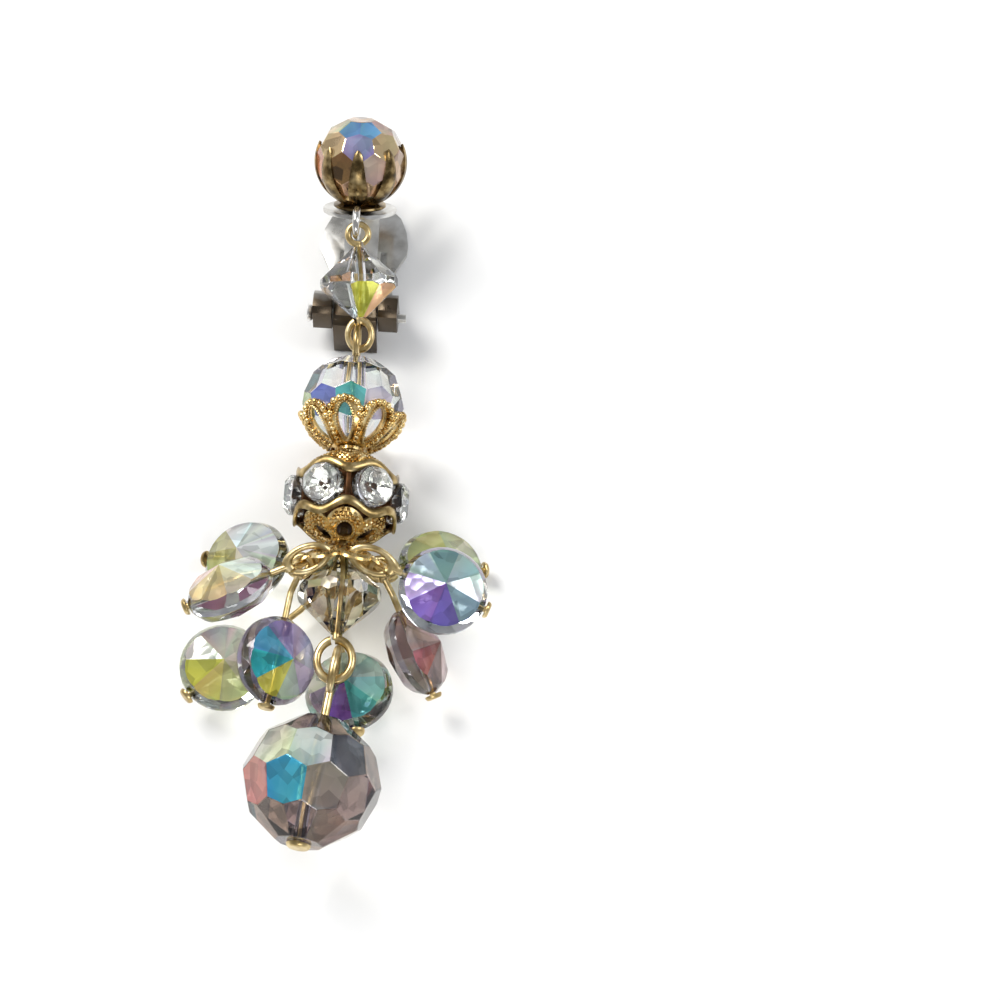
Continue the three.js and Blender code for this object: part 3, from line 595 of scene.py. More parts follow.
# %% Drops
DROP_RADIUS, DROP_HALF = 4.1, 2.7
HANG_RADIUS, HANG_DOWN = 3.35, -1.45
DROPS = [
    dict(name="drop_left_upper", petal=-22.5, loop=1.1, long=1.7, at=(-8.7, -13.5, 7.9),
        face=(-0.3, 0.67, 0.69), bend=None,
        tones=[PALE, PALE, (0.8, 0.78, 0.86)],
        fan=[(0.97, 0.95, 0.85), (0.93, 0.97, 0.93), (0.84, 0.95, 0.9), (0.95, 0.92, 0.66),
            (0.93, 0.84, 0.28), (0.95, 0.7, 0.36), (0.92, 0.56, 0.4), (0.76, 0.32, 0.5)]),
    dict(name="drop_left_hidden", petal=-112.5, loop=0.98, long=1, at=(-7.65, -9.1, 2.72),
        face=(0.05, 0.12, 1), bend=None,
        tones=[PALE, GREY, (0.7, 0.75, 0.6)],
        fan=[(0.8, 0.88, 0.86), (0.9, 0.95, 0.95), (0.85, 0.92, 0.9), (0.8, 0.84, 0.74),
            (0.7, 0.74, 0.55), (0.5, 0.52, 0.2), (0.42, 0.46, 0.12), (0.5, 0.54, 0.2)]),
    dict(name="drop_right_upper", petal=22.5, loop=1.1, long=1.7, at=(10.6, -13.7, 8.0),
        face=(0.5, -0.2, 0.84), bend=None,
        tones=[PALE, GREY, PALE],
        fan=[(0.22, 0.42, 0.45), (0.42, 0.64, 0.66), (0.66, 0.82, 0.88), (0.4, 0.62, 0.88),
            (0.24, 0.16, 0.72), (0.3, 0.16, 0.7), (0.48, 0.38, 0.8), (0.44, 0.64, 0.7)]),
    dict(name="drop_right_hidden", petal=112.5, loop=1.04, long=1, at=(10.3, -9.9, 2.74),
        face=(-0.05, 0.2, 1), bend=None,
        tones=[(0.7, 0.75, 0.5), PALE, (0.6, 0.66, 0.42)],
        fan=[(0.5, 0.56, 0.26), (0.6, 0.66, 0.34), (0.7, 0.75, 0.5), (0.6, 0.66, 0.42),
            (0.5, 0.56, 0.3), (0.5, 0.56, 0.2), (0.55, 0.62, 0.2), (0.6, 0.66, 0.2)]),
    dict(name="drop_right_lower", petal=67.5, loop=0.98, long=1, at=(8.1, -18.3, 4.1),
        face=(0.85, 0.26, 0.47), bend=(6.0, -13.3, 5.4),
        tones=[BLUSH, (0.6, 0.5, 0.5), PALE],
        fan=[(0.34, 0.25, 0.22), (0.6, 0.5, 0.48), (0.85, 0.8, 0.78), (0.55, 0.36, 0.33),
            (0.26, 0.17, 0.14), (0.45, 0.14, 0.15), (0.66, 0.1, 0.14), (0.4, 0.28, 0.28)]),
    dict(name="drop_left_lower", petal=-67.5, loop=0.98, long=1, at=(-4.5, -19.8, 6.3),
        face=(0.64, -0.15, 0.75), bend=(-3.3, -13.4, 6.6),
        tones=[PALE, BLUSH, LILAC],
        fan=[(0.32, 0.27, 0.6), (0.52, 0.46, 0.74), (0.62, 0.56, 0.74), (0.62, 0.58, 0.74),
            (0.4, 0.58, 0.42), (0.93, 0.86, 0.1), (0.02, 0.5, 0.56), (0.06, 0.34, 0.58)]),
    dict(name="drop_left_back", petal=-157.5, loop=0.98, long=1, at=(-9.5, -19.4, 2.85),
        face=(0.2, 0.1, 0.97), bend=(-2.6, -13.6, 2.2),
        tones=[(0.8, 0.82, 0.5), GREY, PALE],
        fan=[(0.5, 0.48, 0.45), (0.6, 0.58, 0.5), (0.7, 0.66, 0.55), (0.55, 0.6, 0.35),
            (0.58, 0.62, 0.28), (0.76, 0.74, 0.2), (0.86, 0.82, 0.08), (0.5, 0.5, 0.4)]),
    dict(name="drop_middle_back", petal=157.5, loop=0.94, long=1, at=(2.0, -21.65, 2.63),
        face=(-0.12, 0, 1), bend=(0.6, -14.1, 0.62),
        tones=[BLUSH, PALE, MINT],
        fan=[(0.6, 0.8, 0.7), (0.5, 0.8, 0.7), (0.24, 0.66, 0.58), (0.06, 0.42, 0.4),
            (0.18, 0.05, 0.34), (0.3, 0.22, 0.3), (0.74, 0.66, 0.54), (0.68, 0.72, 0.66)]),
]


def disc_bead():
    rows = [(0, 32, 0, DROP_RADIUS * 0.985)]
    for side in (1, -1):
        rows.append((side * 66, 8, 0.5, DROP_HALF * 0.9135))
        rows.append((side * 30, 32, 0, DROP_RADIUS * 0.89))
    bm = cut_stone(DROP_RADIUS * 1.3, facet_rows(rows))
    bmesh.ops.rotate(bm, verts=bm.verts[:], matrix=Matrix.Rotation(math.pi / 2, 3, "X"))
    drill(bm, UP, DROP_WIRE + BORE_GAP, 8)
    return bm


def drop_frames(drop):
    """The cap's hole, the way out of it, the bend of the wire, the bore and the disc's frame"""
    turn = math.radians(drop["petal"] - 90)
    cap = run_frame(DROP_CAP_AT)
    back = Matrix.Translation(-SHIFT)
    across = Vector((math.cos(turn), math.sin(turn), 0))
    hole = back @ cap @ (across * HANG_RADIUS + UP * HANG_DOWN)
    out = cap.to_3x3() @ (across * 0.5 + UP * 0.87)
    corner = Vector(drop["bend"]) if drop["bend"] else hole
    up = (corner - Vector(drop["at"])).normalized()
    return hole, out, corner, up, frame_at(drop["at"], up, Vector(drop["face"]).normalized())


for number, drop in enumerate(DROPS):
    place = drop_frames(drop)[4]
    glass_piece(drop["name"] + "_crystal", disc_bead(), place, drop["tones"], [],
        40 + number, rim=Vector((0, 1, 0)), fan=drop["fan"])

# %% [markdown]
# ### The button
# The top bead sits in its cup with its table toward the viewer and up. The bronze of the cup
# shines through it, so its clear facets take a coppery glass that mirrors. One facet at the
# top is blue and one at the left orange.

# %% Button glass
DISH = Vector((2.42, 24.9, 6.5))
BUTTON_AXIS = Vector((0.035, 0.786, 0.617)).normalized()
BUTTON_RADIUS, BUTTON_RISE = 4.2, 4.95
BUTTON_PLACE = frame_at(DISH + BUTTON_AXIS * BUTTON_RISE, BUTTON_AXIS)
button_rows = [(90, 1, 0, BUTTON_RADIUS * 0.93), (-90, 1, 0, BUTTON_RADIUS * 0.9)]
for latitude, shift in ((60, 0.5), (28, 0), (-2, 0.5), (-32, 0), (-62, 0.5)):
    button_rows.append((latitude, 8, shift, BUTTON_RADIUS * 0.95))
glass_piece("button_crystal", cut_stone(BUTTON_RADIUS * 1.3, facet_rows(button_rows)),
    BUTTON_PLACE,
    [(0.55, 0.3, 0.12), (0.72, 0.46, 0.3), (0.32, 0.17, 0.06), (0.86, 0.68, 0.38)], [
        (-0.02, 0.72, 0.68, (0.2, 0.5, 0.85)),
        (0.42, 0.68, 0.6, (0.78, 0.5, 0.4)),
        (-0.5, 0.6, 0.6, (0.72, 0.7, 0.42)),
        (-0.85, 0.12, 0.5, (0.9, 0.38, 0.16)),
        (-0.1, 0.1, 1.0, (0.42, 0.4, 0.74)),
        (0.5, -0.15, 0.85, (0.9, 0.72, 0.55)),
    ], 8, 0.94, 0.06, base=bronze_glass)

# %% [markdown]
# ## Wire
# Pins and loops are round wire. A ring of edges is the wire's cross-section: spin carries
# it round a bend and extrude_edge_only draws it out straight, as pliers and hand do. An eye
# is almost a full turn, and the small gap where it closes is left, as on the real one.

# %% Drawing wire
def wire_ring(bm, radius, sides=14):
    made = bmesh.ops.create_circle(bm, cap_ends=False, radius=radius, segments=sides)["verts"]
    edges = list({edge for vert in made for edge in vert.link_edges})
    return made, edges


def close_end(bm, edges):
    bmesh.ops.edgeloop_fill(bm, edges=edges)


def straight(bm, radius, low, high, sides=14):
    verts, edges = wire_ring(bm, radius, sides)
    bmesh.ops.translate(bm, verts=verts, vec=(0, 0, low))
    close_end(bm, edges)
    drawn = bmesh.ops.extrude_edge_only(bm, edges=edges)["geom"]
    ends = [v for v in drawn if isinstance(v, bmesh.types.BMVert)]
    bmesh.ops.translate(bm, verts=ends, vec=(0, 0, high - low))
    close_end(bm, [e for e in drawn if isinstance(e, bmesh.types.BMEdge)])


def eye(bm, mean, wire, stretch=1.0, centre=(0, 0, 0), turned=0.0, gap=14, start=-90):
    """An almost closed ring in the plane of x and z; start is where its gap lies"""
    before = set(bm.verts)
    verts, edges = wire_ring(bm, wire)
    bmesh.ops.translate(bm, verts=verts, vec=(mean, 0, 0))
    opening = Matrix.Rotation(math.radians(-start - gap / 2), 3, "Y")
    bmesh.ops.rotate(bm, verts=verts, cent=(0, 0, 0), matrix=opening)
    close_end(bm, edges)
    spun = bmesh.ops.spin(bm, geom=verts + edges, cent=(0, 0, 0), axis=(0, -1, 0), dvec=(0, 0, 0),
        angle=math.radians(360 - gap), steps=44, use_merge=False)["geom_last"]
    close_end(bm, [e for e in spun if isinstance(e, bmesh.types.BMEdge)])
    fresh = [v for v in bm.verts if v not in before]
    bmesh.ops.scale(bm, verts=fresh, vec=(1, 1, stretch))
    bmesh.ops.rotate(bm, verts=fresh, cent=(0, 0, 0), matrix=Matrix.Rotation(turned, 3, "Z"))
    bmesh.ops.translate(bm, verts=fresh, vec=centre)


def join_into(whole, bm):
    """Adds one mesh to another; bm is used up"""
    held = bpy.data.meshes.new("held")
    bm.to_mesh(held)
    bm.free()
    whole.from_mesh(held)
    bpy.data.meshes.remove(held)


def wire_done(bm):
    bmesh.ops.recalc_face_normals(bm, faces=bm.faces[:])
    return bm


# %% The ring in the dish and the two pins with an eye at each end
ring = bmesh.new()
eye(ring, 1.35, 0.34, turned=math.pi / 2, gap=6, start=60)
dish_frame = frame_at(DISH, BUTTON_AXIS)
finish_piece("drop_ring_wire", wire_done(ring), dish_frame @ Matrix.Translation((0, -3.9, -0.3)),
    [ring_silver], ["drop_ring"])

bicone_pin = bmesh.new()
straight(bicone_pin, DROP_WIRE, -BICONE_HALF - 0.55, BICONE_HALF + 0.45)
eye(bicone_pin, 0.95, DROP_WIRE, 1.0, (0, 0, BICONE_HALF + 1.25), start=-70)
eye(bicone_pin, 1.1, DROP_WIRE, 1.25, (0, 0, -BICONE_HALF - 1.55), start=110)
finish_piece("bicone_pin_wire", wire_done(bicone_pin), BICONE_PLACE, [wire_gold],
    ["bicone_eye_pin"])

run_top = ROUND_AT + ROUND_HALF
run_low = LOWER_AT - LOWER_HALF
main_pin = bmesh.new()
straight(main_pin, PIN_WIRE, run_low - 0.5, run_top + 0.5)
eye(main_pin, 1.2, PIN_WIRE * 0.9, 1.25, (0, -0.75, run_top + 1.85), math.pi / 2, start=-70)
eye(main_pin, 1.6, PIN_WIRE, 1.2, (0, 0, run_low - 2.45), start=100)
finish_piece("main_pin_wire", wire_done(main_pin), run_frame(0), [wire_gold],
    ["main_eye_pin"])


# %% [markdown]
# A headed pin ends in a small domed head. The head is a cone of the head's size with its
# edge rounded by a bevel.

# %% Headed pins
def rise_of(edge):
    return abs(edge.verts[0].co.z - edge.verts[1].co.z)


def pin_head(bm, radius, low, high):
    made = bmesh.ops.create_cone(bm, cap_ends=True, segments=20, radius1=radius * 0.8,
        radius2=radius, depth=high - low)["verts"]
    bmesh.ops.translate(bm, verts=made, vec=(0, 0, (low + high) / 2))
    rim = list({e for v in made for e in v.link_edges if rise_of(e) < 1e-6})
    bmesh.ops.bevel(bm, geom=rim, offset=(high - low) * 0.35, offset_type="OFFSET", affect="EDGES",
        segments=3, profile=0.5, material=-1)


ball_pin = bmesh.new()
pin_head(ball_pin, 1.2, -BALL_HALF - 0.5, -BALL_HALF - 0.06)
straight(ball_pin, BALL_WIRE, -BALL_HALF - 0.3, BALL_HALF + 3.15)
eye(ball_pin, 1.15, PIN_WIRE, 1.6, (0, 0, BALL_HALF + BALL_NECK), math.pi / 2, start=-80)
finish_piece("ball_pin_wire", wire_done(ball_pin), BALL_PLACE, [wire_gold],
    ["ball_pin"])

# %% [markdown]
# The clip's pin is a headed pin too. It runs across the clip, which leans back by a few
# degrees and is turned a little.

# %% Hinge pin
HINGE = Vector((2.1, 15.4, 3.45))
CLIP_LEAN, CLIP_TURN = math.radians(8.7), math.radians(-4)
leaning = Vector((0, math.cos(CLIP_LEAN), -math.sin(CLIP_LEAN)))
clip_up = Matrix.Rotation(CLIP_TURN, 3, "Z") @ leaning
hinge_place = frame_at(HINGE, clip_up) @ Matrix.Rotation(-math.pi / 2, 4, "Y")
hinge = bmesh.new()
pin_head(hinge, 0.9, 4.15, 4.65)
straight(hinge, 0.42, -4.75, 4.35, 24)
finish_piece("hinge_pin_metal", wire_done(hinge), hinge_place, [pale_pin],
    ["hinge_pin"])

# %% [markdown]
# A drop's wire has two parts that meet at its bend: an eye and a rod from the cap's hole,
# and a headed stem through the disc. A small ball makes the knee. A straight wire has no
# bend, and its rod and stem run into each other.

# %% Drop pins
for drop in DROPS:
    hole, out, corner, up, place = drop_frames(drop)
    centre = Vector(drop["at"])
    first = (hole - corner).normalized() if drop["bend"] else up
    far = (hole - corner).length if drop["bend"] else (hole - centre).length
    top = (corner - centre).length if drop["bend"] else 0
    side = first.cross(out)
    pin = bmesh.new()
    drawn = drop["loop"] * drop["long"]
    eye(pin, drop["loop"], DROP_WIRE, drop["long"], (0, 0, -drawn), start=-60)
    straight(pin, DROP_WIRE, -far, -2 * drawn + 0.05)
    pin.transform(frame_at(hole, first, side))
    stem = bmesh.new()
    pin_head(stem, 0.85, -DROP_RADIUS - 0.5, -DROP_RADIUS - 0.08)
    straight(stem, DROP_WIRE, -DROP_RADIUS - 0.3, top)
    if drop["bend"]:
        knee = bmesh.ops.create_icosphere(stem, subdivisions=2, radius=DROP_WIRE * 1.03)["verts"]
        bmesh.ops.translate(stem, verts=knee, vec=(0, 0, top))
    stem.transform(frame_at(drop["at"], up, side))
    join_into(pin, stem)
    finish_piece(drop["name"] + "_wire", wire_done(pin), Matrix.Identity(4),
        [wire_gold], [drop["name"] + "_pin"])

# %% [markdown]
# ## Granulated caps
# The caps are pierced sheet with rows of tiny grains along each petal. One petal is made
# flat: a ring of edges for its outline and one for its opening, bridged into a band, and
# given a wall. Grains are set along the outline. Then the petal is wrapped on the bead's
# sphere and repeated round it. u runs sideways and v up the petal, from the equator.

# %% A petal and its grains
def round_points(count, wide, high, middle=0.0):
    """Points round an oval whose centre is on the petal's own middle line"""
    turns = [2 * math.pi * k / count for k in range(count)]
    return [(wide * math.sin(turn), middle + high * math.cos(turn)) for turn in turns]


def ring_of(bm, points):
    made = bmesh.ops.create_circle(bm, cap_ends=False, radius=1, segments=len(points))["verts"]
    for vert, point in zip(made, points):
        vert.co = Vector((point[0], point[1], 0))
    return list({edge for vert in made for edge in vert.link_edges})


def leaf(width, low, high, count, blunt=0.5):
    """Outline of a petal: narrow below, widest above its middle, rounded at the tip"""
    points = []
    for i in range(count):
        turn = 2 * math.pi * i / count
        v = (1 - math.cos(turn)) / 2
        swell = math.sin(math.pi * v ** (1 - 0.35 * blunt)) ** (1 - 0.45 * blunt)
        points.append((math.copysign(swell * width / 2, math.sin(turn)), low + (high - low) * v))
    return points


def petal_band(outer, inner, wall):
    bm = bmesh.new()
    bmesh.ops.bridge_loops(bm, edges=ring_of(bm, outer) + ring_of(bm, inner))
    across = [e for e in bm.edges if len(e.link_faces) == 2]
    bmesh.ops.subdivide_edges(bm, edges=across, cuts=4, use_grid_fill=True)
    bmesh.ops.recalc_face_normals(bm, faces=bm.faces[:])
    if sum(face.normal.z for face in bm.faces) < 0:
        bmesh.ops.reverse_faces(bm, faces=bm.faces[:])
    bmesh.ops.solidify(bm, geom=bm.faces[:], thickness=wall)
    return bm


def add_grains(bm, points, size, height, detail=1, finish=0):
    for u, v in points:
        grain = bmesh.ops.create_icosphere(bm, subdivisions=detail, radius=size)["verts"]
        for face in {face for vert in grain for face in vert.link_faces}:
            face.material_index = finish
        bmesh.ops.translate(bm, verts=grain, vec=(u, v, height))


def along(points, step, inset=0.0):
    """Points at equal steps along a closed outline, moved toward its middle by inset"""
    middle = Vector((sum(p[0] for p in points), sum(p[1] for p in points))) / len(points)
    loop = [Vector(p) for p in points] + [Vector(points[0])]
    placed, left = [], 0.0
    for a, b in zip(loop, loop[1:]):
        length = (b - a).length
        while left < length and length > 1e-9:
            spot = a + (b - a) * (left / length)
            placed.append(spot + (middle - spot).normalized() * inset)
            left += step
        left -= length
    return placed


def edge_of(inside, middle, count=44):
    """Where rays from the middle of a hole leave the petal; in degrees round and up"""
    points = []
    for i in range(count):
        turn = 2 * math.pi * i / count
        near, far = 0.0, 90.0
        for _ in range(24):
            half = (near + far) / 2
            if inside(middle[0] + half * math.sin(turn), middle[1] + half * math.cos(turn)):
                near = half
            else:
                far = half
        points.append((middle[0] + near * math.sin(turn), middle[1] + near * math.cos(turn)))
    return points


def laid(points, radius):
    """Degrees round and up to the millimetres of the flat petal"""
    flat = []
    for a, b in points:
        level = max(math.cos(math.radians(b)), 0.2)
        flat.append((math.radians(a) * radius * level, radius * math.radians(b)))
    return flat


def wrap(bm, radius, turn, squash=1.0, aim=1):
    """Lays a flat petal on a ball: v is the way up from the equator, u the way round"""
    for vert in bm.verts:
        u, v, w = vert.co
        latitude = v / radius
        level = max(math.cos(latitude), 0.2)
        angle = math.radians(turn) + u / (radius * level)
        r = radius + w
        out = r * math.cos(latitude)
        vert.co = Vector((out * math.sin(angle), -out * math.cos(angle),
            aim * r * squash * math.sin(latitude)))


# %% [markdown]
# ### The cap under the round bead
# Eight petals with a lens opening through which the glass flashes. They meet in a small
# plate at the pole. The outline of a petal is told by a test, in degrees round and up: below
# the pole's plate it ends, above it ends in a round lobe. The opening is an oval drawn in to
# points.

# %% Petal cap
CAP_BALL = ROUND_RADIUS + 0.18
PETALS = 8
PETAL_TURN = -6
PETAL_HALF = 22.6
LENS_HALF, LENS_HIGH, LENS_AT = 10.5, 22, -43


def in_petal(a, b):
    lobe = math.sqrt(max(0.0, 1 - (a / PETAL_HALF) ** 2))
    return abs(a) < PETAL_HALF and -80 < b < -32 + 20 * lobe


cap = bmesh.new()
lens = [(LENS_HALF * math.copysign(abs(a) ** 1.2, a), b)
    for a, b in round_points(44, 1, LENS_HIGH, LENS_AT)]
petal_edge = laid(edge_of(in_petal, (0, LENS_AT)), CAP_BALL)
lens_edge = laid(lens, CAP_BALL)
for i in range(PETALS):
    petal = petal_band(petal_edge, lens_edge, 0.26)
    top = [p for p in along(petal_edge, 0.66, 0.28) if p.y > -2.9]
    add_grains(petal, top, 0.34, 0.18, 2)
    add_grains(petal, along(lens_edge, 0.22, -0.12), 0.13, 0.22, 1, 1)
    ridge = laid([(22.5, b) for b in (-37, -43, -49, -55, -61, -67)], CAP_BALL)
    add_grains(petal, ridge, 0.24, 0.16, 2)
    wrap(petal, CAP_BALL, PETAL_TURN + i * 360 / PETALS)
    join_into(cap, petal)
plate = bmesh.new()
bmesh.ops.create_circle(plate, cap_ends=True, radius=1.3, segments=32)
bmesh.ops.solidify(plate, geom=plate.faces[:], thickness=0.3)
bmesh.ops.translate(plate, verts=plate.verts[:], vec=(0, 0, -CAP_BALL * 0.985))
join_into(cap, plate)
bmesh.ops.recalc_face_normals(cap, faces=cap.faces[:])
finish_piece("petal_cap_gold", cap, run_frame(ROUND_AT), [cap_gold, wire_gold],
    ["petal_cap"])

# %% [markdown]
# ### The stone-set ball
# Two granulated domes, each of six scallops round a hole, face each other. Between them six
# stones stand behind two wavy bands, parted by dark posts. A scallop is a petal with a round
# lobe, and a field of grains in staggered rows covers it wherever there is no hole.

# %% Domes
STONES, STONE_TURN = 6, 5
DOME_BALL = SET_RADIUS - 0.3
SCALLOP_HALF, SCALLOP_LOBE, LOBE_AT, HOLE_AT = 30.1, 1.95, 54, 60
GRAIN_STEP, GRAIN_ROW = 0.43, 0.37
hole_middle = DOME_BALL * math.radians(HOLE_AT)


def in_scallop(a, b):
    u = math.radians(a) * DOME_BALL * math.cos(math.radians(b))
    v = DOME_BALL * math.radians(b - LOBE_AT)
    in_lobe = b > LOBE_AT + 2 or math.hypot(u, v) < SCALLOP_LOBE
    return abs(a) < SCALLOP_HALF and b < 80 and in_lobe


scallop_edge = laid(edge_of(in_scallop, (0, HOLE_AT), 60), DOME_BALL)
hole_edge = round_points(60, 0.75, 1.0, hole_middle)
field = []
for row in range(14):
    for step in range(-8, 9):
        spot = Vector(((step + 0.5 * (row % 2)) * GRAIN_STEP, 2.3 + row * GRAIN_ROW))
        b = math.degrees(spot.y / DOME_BALL)
        a = math.degrees(spot.x / (DOME_BALL * max(math.cos(math.radians(b)), 0.2)))
        clear = math.hypot(spot.x / 0.95, (spot.y - hole_middle) / 1.2) > 1
        if clear and abs(a) < 29 and b < 78 and in_scallop(a * 1.06, b - 2):
            field.append(spot)
setting = bmesh.new()
for aim in (-1, 1):
    for i in range(STONES):
        scallop = petal_band(scallop_edge, hole_edge, 0.3)
        add_grains(scallop, field, 0.21, 0.13)
        add_grains(scallop, along(hole_edge, 0.24, -0.1), 0.12, 0.2, 1, 1)
        wrap(scallop, DOME_BALL, STONE_TURN + i * 60, SET_HALF / SET_RADIUS, aim)
        join_into(setting, scallop)
bmesh.ops.recalc_face_normals(setting, faces=setting.faces[:])
finish_piece("dome_gold", setting, run_frame(0), [cap_gold, wire_gold],
    ["stone_ball_setting"])

# %% [markdown]
# A wavy band is a flattened wire, spun full circle, whose height then follows a wave: one
# wave to a stone, so that it rises over each. Where it comes nearest to the dome it is drawn
# in a little.

# %% Wavy bands
WAVE = 0.42
upright = Matrix.Rotation(math.pi / 2, 3, "X")
bands = bmesh.new()
for side, level in ((1, 1.84), (-1, -2.12)):
    before = set(bands.verts)
    verts, edges = wire_ring(bands, 0.34, 12)
    bmesh.ops.rotate(bands, verts=verts, cent=(0, 0, 0), matrix=upright)
    bmesh.ops.scale(bands, verts=verts, vec=(0.62, 1, 1.35))
    bmesh.ops.translate(bands, verts=verts, vec=(4.82, 0, 0))
    bmesh.ops.spin(bands, geom=verts + edges, cent=(0, 0, 0), axis=(0, 0, 1), dvec=(0, 0, 0),
        angle=2 * math.pi, steps=120, use_merge=True)
    for vert in [v for v in bands.verts if v not in before]:
        turn = math.atan2(vert.co.y, vert.co.x)
        wave = math.cos(STONES * (turn + math.pi / 2 - math.radians(STONE_TURN)))
        vert.co.z += level - side * WAVE * wave
        vert.co.x *= 1 - 0.025 * (1 - wave)
        vert.co.y *= 1 - 0.025 * (1 - wave)
bmesh.ops.recalc_face_normals(bands, faces=bands.faces[:])
finish_piece("wave_bands", bands, run_frame(0), [old_gold])

# %% [markdown]
# Behind the stones is a dark drum with a post between each two of them.

# %% Core and posts
core = bmesh.new()
bmesh.ops.create_cone(core, cap_ends=True, segments=48, radius1=3.1, radius2=3.1, depth=5.8)
for i in range(STONES):
    post = bmesh.ops.create_cube(core, size=1)["verts"]
    bmesh.ops.scale(core, verts=post, vec=(0.42, 1.75, 3.7))
    bmesh.ops.translate(core, verts=post, vec=(0, -3.85, 0))
    turned = Matrix.Rotation(math.radians(STONE_TURN + i * 60), 3, "Z")
    bmesh.ops.rotate(core, verts=post, cent=(0, 0, 0), matrix=turned)
rims = [e for e in core.edges if e.calc_face_angle(0) > 1]
bmesh.ops.bevel(core, geom=rims, offset=0.06, offset_type="OFFSET", affect="EDGES", segments=2,
    profile=0.5, material=-1)
finish_piece("setting_core", core, run_frame(0), [dark_gold])

# %% [markdown]
# ### The set stones
# Clear stones with a table, eight crown facets and a silvered back. The back is what makes
# them sparkle, so a bright foil cup lies in the glass. Its corners are moved a little at
# random, and each small triangle of it mirrors another part of the room.

# %% Stones with their foil
STONE_RADIUS, STONE_OUT = 1.95, 4.6
STONE_TONES = [(0.97, 0.97, 0.98), (0.9, 0.91, 0.92), (0.98, 0.98, 0.93)]
STONE_ROWS = [(90, 1, 0, 1.15), (-90, 1, 0, 0.75), (48, 8, 0, 1.62),
    (0, 24, 0.5, STONE_RADIUS * 0.95)]
for i in range(STONES):
    stone = cut_stone(3, facet_rows(STONE_ROWS))
    colour_facets(stone, run_frame(0), STONE_TONES, [], 70 + i)
    glint_edges(stone, 0.035)
    cup = bmesh.new()
    bmesh.ops.create_cone(cup, cap_ends=False, segments=16, radius1=0.35, radius2=1.72, depth=1.0)
    slant = [e for e in cup.edges if rise_of(e) > 0.5]
    bmesh.ops.subdivide_edges(cup, edges=slant, cuts=1)
    draw = random.Random(90 + i)
    for vert in cup.verts:
        vert.co.z += draw.uniform(-0.14, 0.14)
        vert.co.x *= draw.uniform(0.93, 1.0)
    bmesh.ops.triangulate(cup, faces=cup.faces[:])
    bmesh.ops.translate(cup, verts=cup.verts[:], vec=(0, 0, -0.1))
    turned = Matrix.Rotation(math.radians(STONE_TURN + 30 + i * 60), 4, "Z")
    outward = Matrix.Translation((0, -STONE_OUT, 0)) @ Matrix.Rotation(math.pi / 2, 4, "X")
    place = run_frame(0) @ (turned @ outward)
    finish_piece(f"stone_{i + 1}_glass", stone, place, [stone_glass],
        [f"rhinestone_{i + 1}"], smooth=None)
    finish_piece(f"stone_{i + 1}_foil", cup, place, [foil], smooth=None)

# %% [markdown]
# ### The cap that carries the drops
# Eight petals on a cone that falls away, each with a hole for a drop's loop. A pale cord of
# grains runs round each petal and each hole.

# %% Drop cap
drop_cap = bmesh.new()
outer = [(u, -v) for u, v in reversed(leaf(3.3, -4.7, -0.7, 40, 0.8))]
hole = round_points(40, 0.74, 0.72, 3.45)
for i in range(PETALS):
    petal = petal_band(outer, hole, 0.26)
    add_grains(petal, along(outer, 0.34, 0.12), 0.19, 0.1, 1, 1)
    add_grains(petal, along(outer, 0.46, 0.5), 0.2, 0.1)
    add_grains(petal, along(hole, 0.4, -0.2), 0.15, 0.14)
    for vert in petal.verts:
        u, v, w = vert.co
        fall = 0.42 * max(v - 0.6, 0) ** 1.15
        turn = math.radians((i + 0.5) * 360 / PETALS)
        vert.co = Matrix.Rotation(turn, 3, "Z") @ Vector((u, -v, -0.15 - fall + w))
    join_into(drop_cap, petal)
hub = bmesh.new()
bmesh.ops.create_cone(hub, cap_ends=True, segments=32, radius1=1.9, radius2=1.2, depth=0.35)
bmesh.ops.translate(hub, verts=hub.verts[:], vec=(0, 0, -0.35))
join_into(drop_cap, hub)
bmesh.ops.recalc_face_normals(drop_cap, faces=drop_cap.faces[:])
finish_piece("drop_cap_gold", drop_cap, run_frame(DROP_CAP_AT), [cap_gold, wire_gold],
    ["drop_cap"])

# %% [markdown]
# ### The claw cup
# Eight claws of sheet rise from a bowl and hold the button's bead. A claw is a grid that
# narrows from the bowl to a rounded tip, swells a little along its middle and leans on the
# glass at its end. The bowl is an arc spun round on the same ball, and the skirt under it is
# a spun profile.

# %% Claw cup
CUP_BALL = BUTTON_RADIUS + 0.14
CLAWS = 8
CLAW_FROM, CLAW_OVER = -66, 90  # degrees on the ball
cup = bmesh.new()
for i in range(CLAWS):
    claw = bmesh.new()
    bmesh.ops.create_grid(claw, x_segments=8, y_segments=30, size=1)
    for vert in claw.verts:
        side, rise = vert.co.x, (vert.co.y + 1) / 2
        latitude = math.radians(CLAW_FROM + CLAW_OVER * rise)
        shape = 1 - 0.72 * min(1.0, rise / 0.9) ** 0.75
        tip = math.sqrt(max(0.0, 1 - max(0.0, (rise - 0.86) / 0.145) ** 2))
        level = math.cos(latitude)
        half = math.pi / CLAWS * CUP_BALL * level * shape * max(tip, 0.05)
        bent = -0.12 * max(0.0, (rise - 0.45) / 0.55) ** 1.3
        vert.co = Vector((side * half, latitude * CUP_BALL, bent + 0.1 * (1 - side * side)))
    bmesh.ops.recalc_face_normals(claw, faces=claw.faces[:])
    bmesh.ops.solidify(claw, geom=claw.faces[:], thickness=0.28)
    wrap(claw, CUP_BALL + 0.02, i * 360 / CLAWS)
    join_into(cup, claw)
bowl = bmesh.new()
profile = []
for k in range(12):
    latitude = math.radians(-88 + k * 3.4)
    spot = (CUP_BALL * math.cos(latitude), 0, CUP_BALL * math.sin(latitude))
    profile.append(bowl.verts.new(spot))
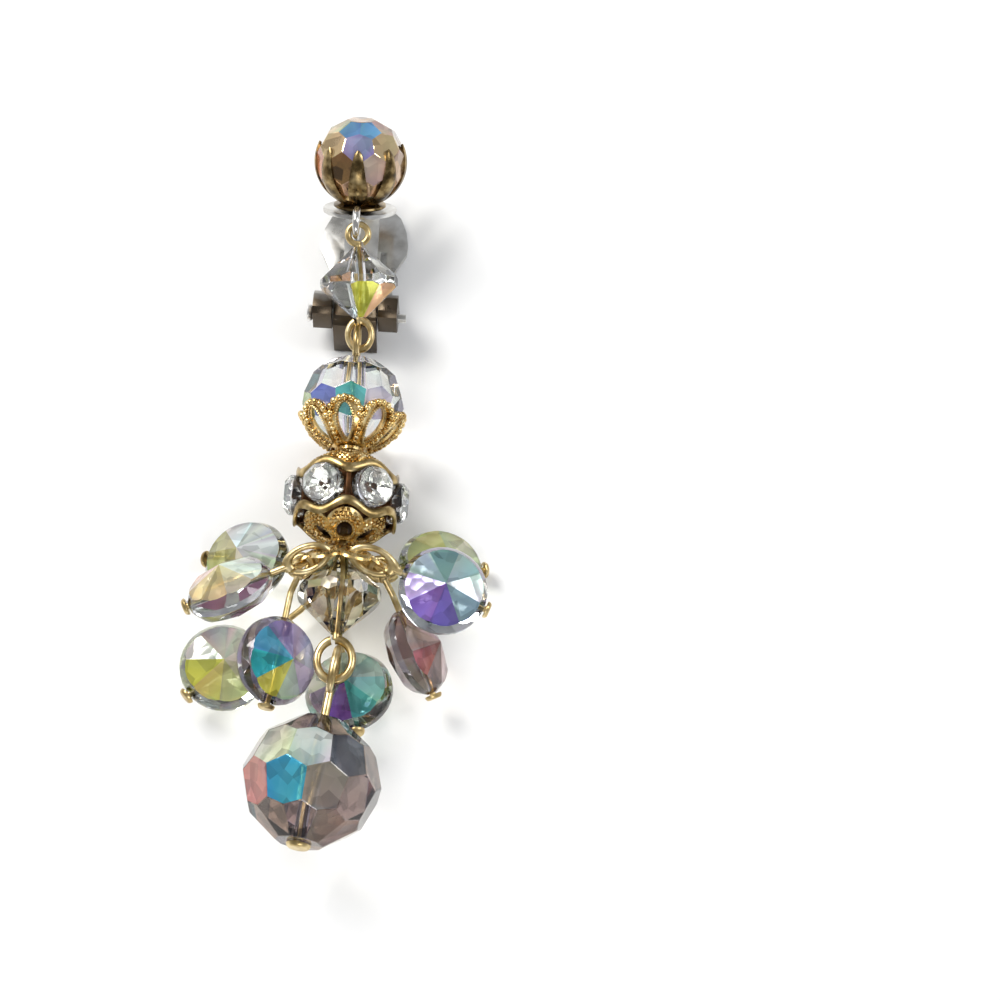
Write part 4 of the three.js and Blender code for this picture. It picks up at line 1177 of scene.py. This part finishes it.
lines = [bowl.edges.new((a, b)) for a, b in zip(profile, profile[1:])]
bmesh.ops.spin(bowl, geom=profile + lines, cent=(0, 0, 0), axis=(0, 0, 1), dvec=(0, 0, 0),
    angle=2 * math.pi, steps=64, use_merge=True)
bmesh.ops.recalc_face_normals(bowl, faces=bowl.faces[:])
bmesh.ops.solidify(bowl, geom=bowl.faces[:], thickness=0.3)
join_into(cup, bowl)
skirt = bmesh.new()
low = -BUTTON_RISE + 0.45
outline = [(0.6, -0.2), (2.35, 0), (2.5, 0.12), (2.45, 0.3), (1.9, 0.35), (0.8, 0.75), (0.6, 0.8)]
rim = [skirt.verts.new((r, 0, low + z)) for r, z in outline]
lines = [skirt.edges.new((a, b)) for a, b in zip(rim, rim[1:] + rim[:1])]
bmesh.ops.spin(skirt, geom=rim + lines, cent=(0, 0, 0), axis=(0, 0, 1), dvec=(0, 0, 0),
    angle=2 * math.pi, steps=64, use_merge=True)
join_into(cup, skirt)
bmesh.ops.recalc_face_normals(cup, faces=cup.faces[:])
finish_piece("claw_cup_gold", cup, BUTTON_PLACE, [bronze], ["claw_cup"])

# %% [markdown]
# ## The table
# A pale, smooth sheet with a faint grain, so that soft shadows fall on something real.

# %% Table
TABLE_HALF = 900
table = bmesh.new()
bmesh.ops.create_grid(table, x_segments=2, y_segments=2, size=TABLE_HALF)
table.transform(Matrix.Diagonal((MM, MM, MM, 1)))
table_mesh = bpy.data.meshes.new("table")
table.to_mesh(table_mesh)
table.free()
paper, nodes, links, shader = new_finish("pale_table")
grain = noise_of(nodes, links, 60, 6.0)
tone = ramp_of(nodes, links, grain.outputs["Fac"], [(0.3, (0.9, 0.9, 0.895)),
    (0.7, (0.94, 0.94, 0.937))])
links.new(tone.outputs["Color"], shader.inputs["Base Color"])
shader.inputs["Roughness"].default_value = 0.75
table_mesh.materials.append(paper)
table_top = bpy.data.objects.new("table", table_mesh)
bpy.context.collection.objects.link(table_top)
print("table: a sheet", 2 * TABLE_HALF, "mm wide")
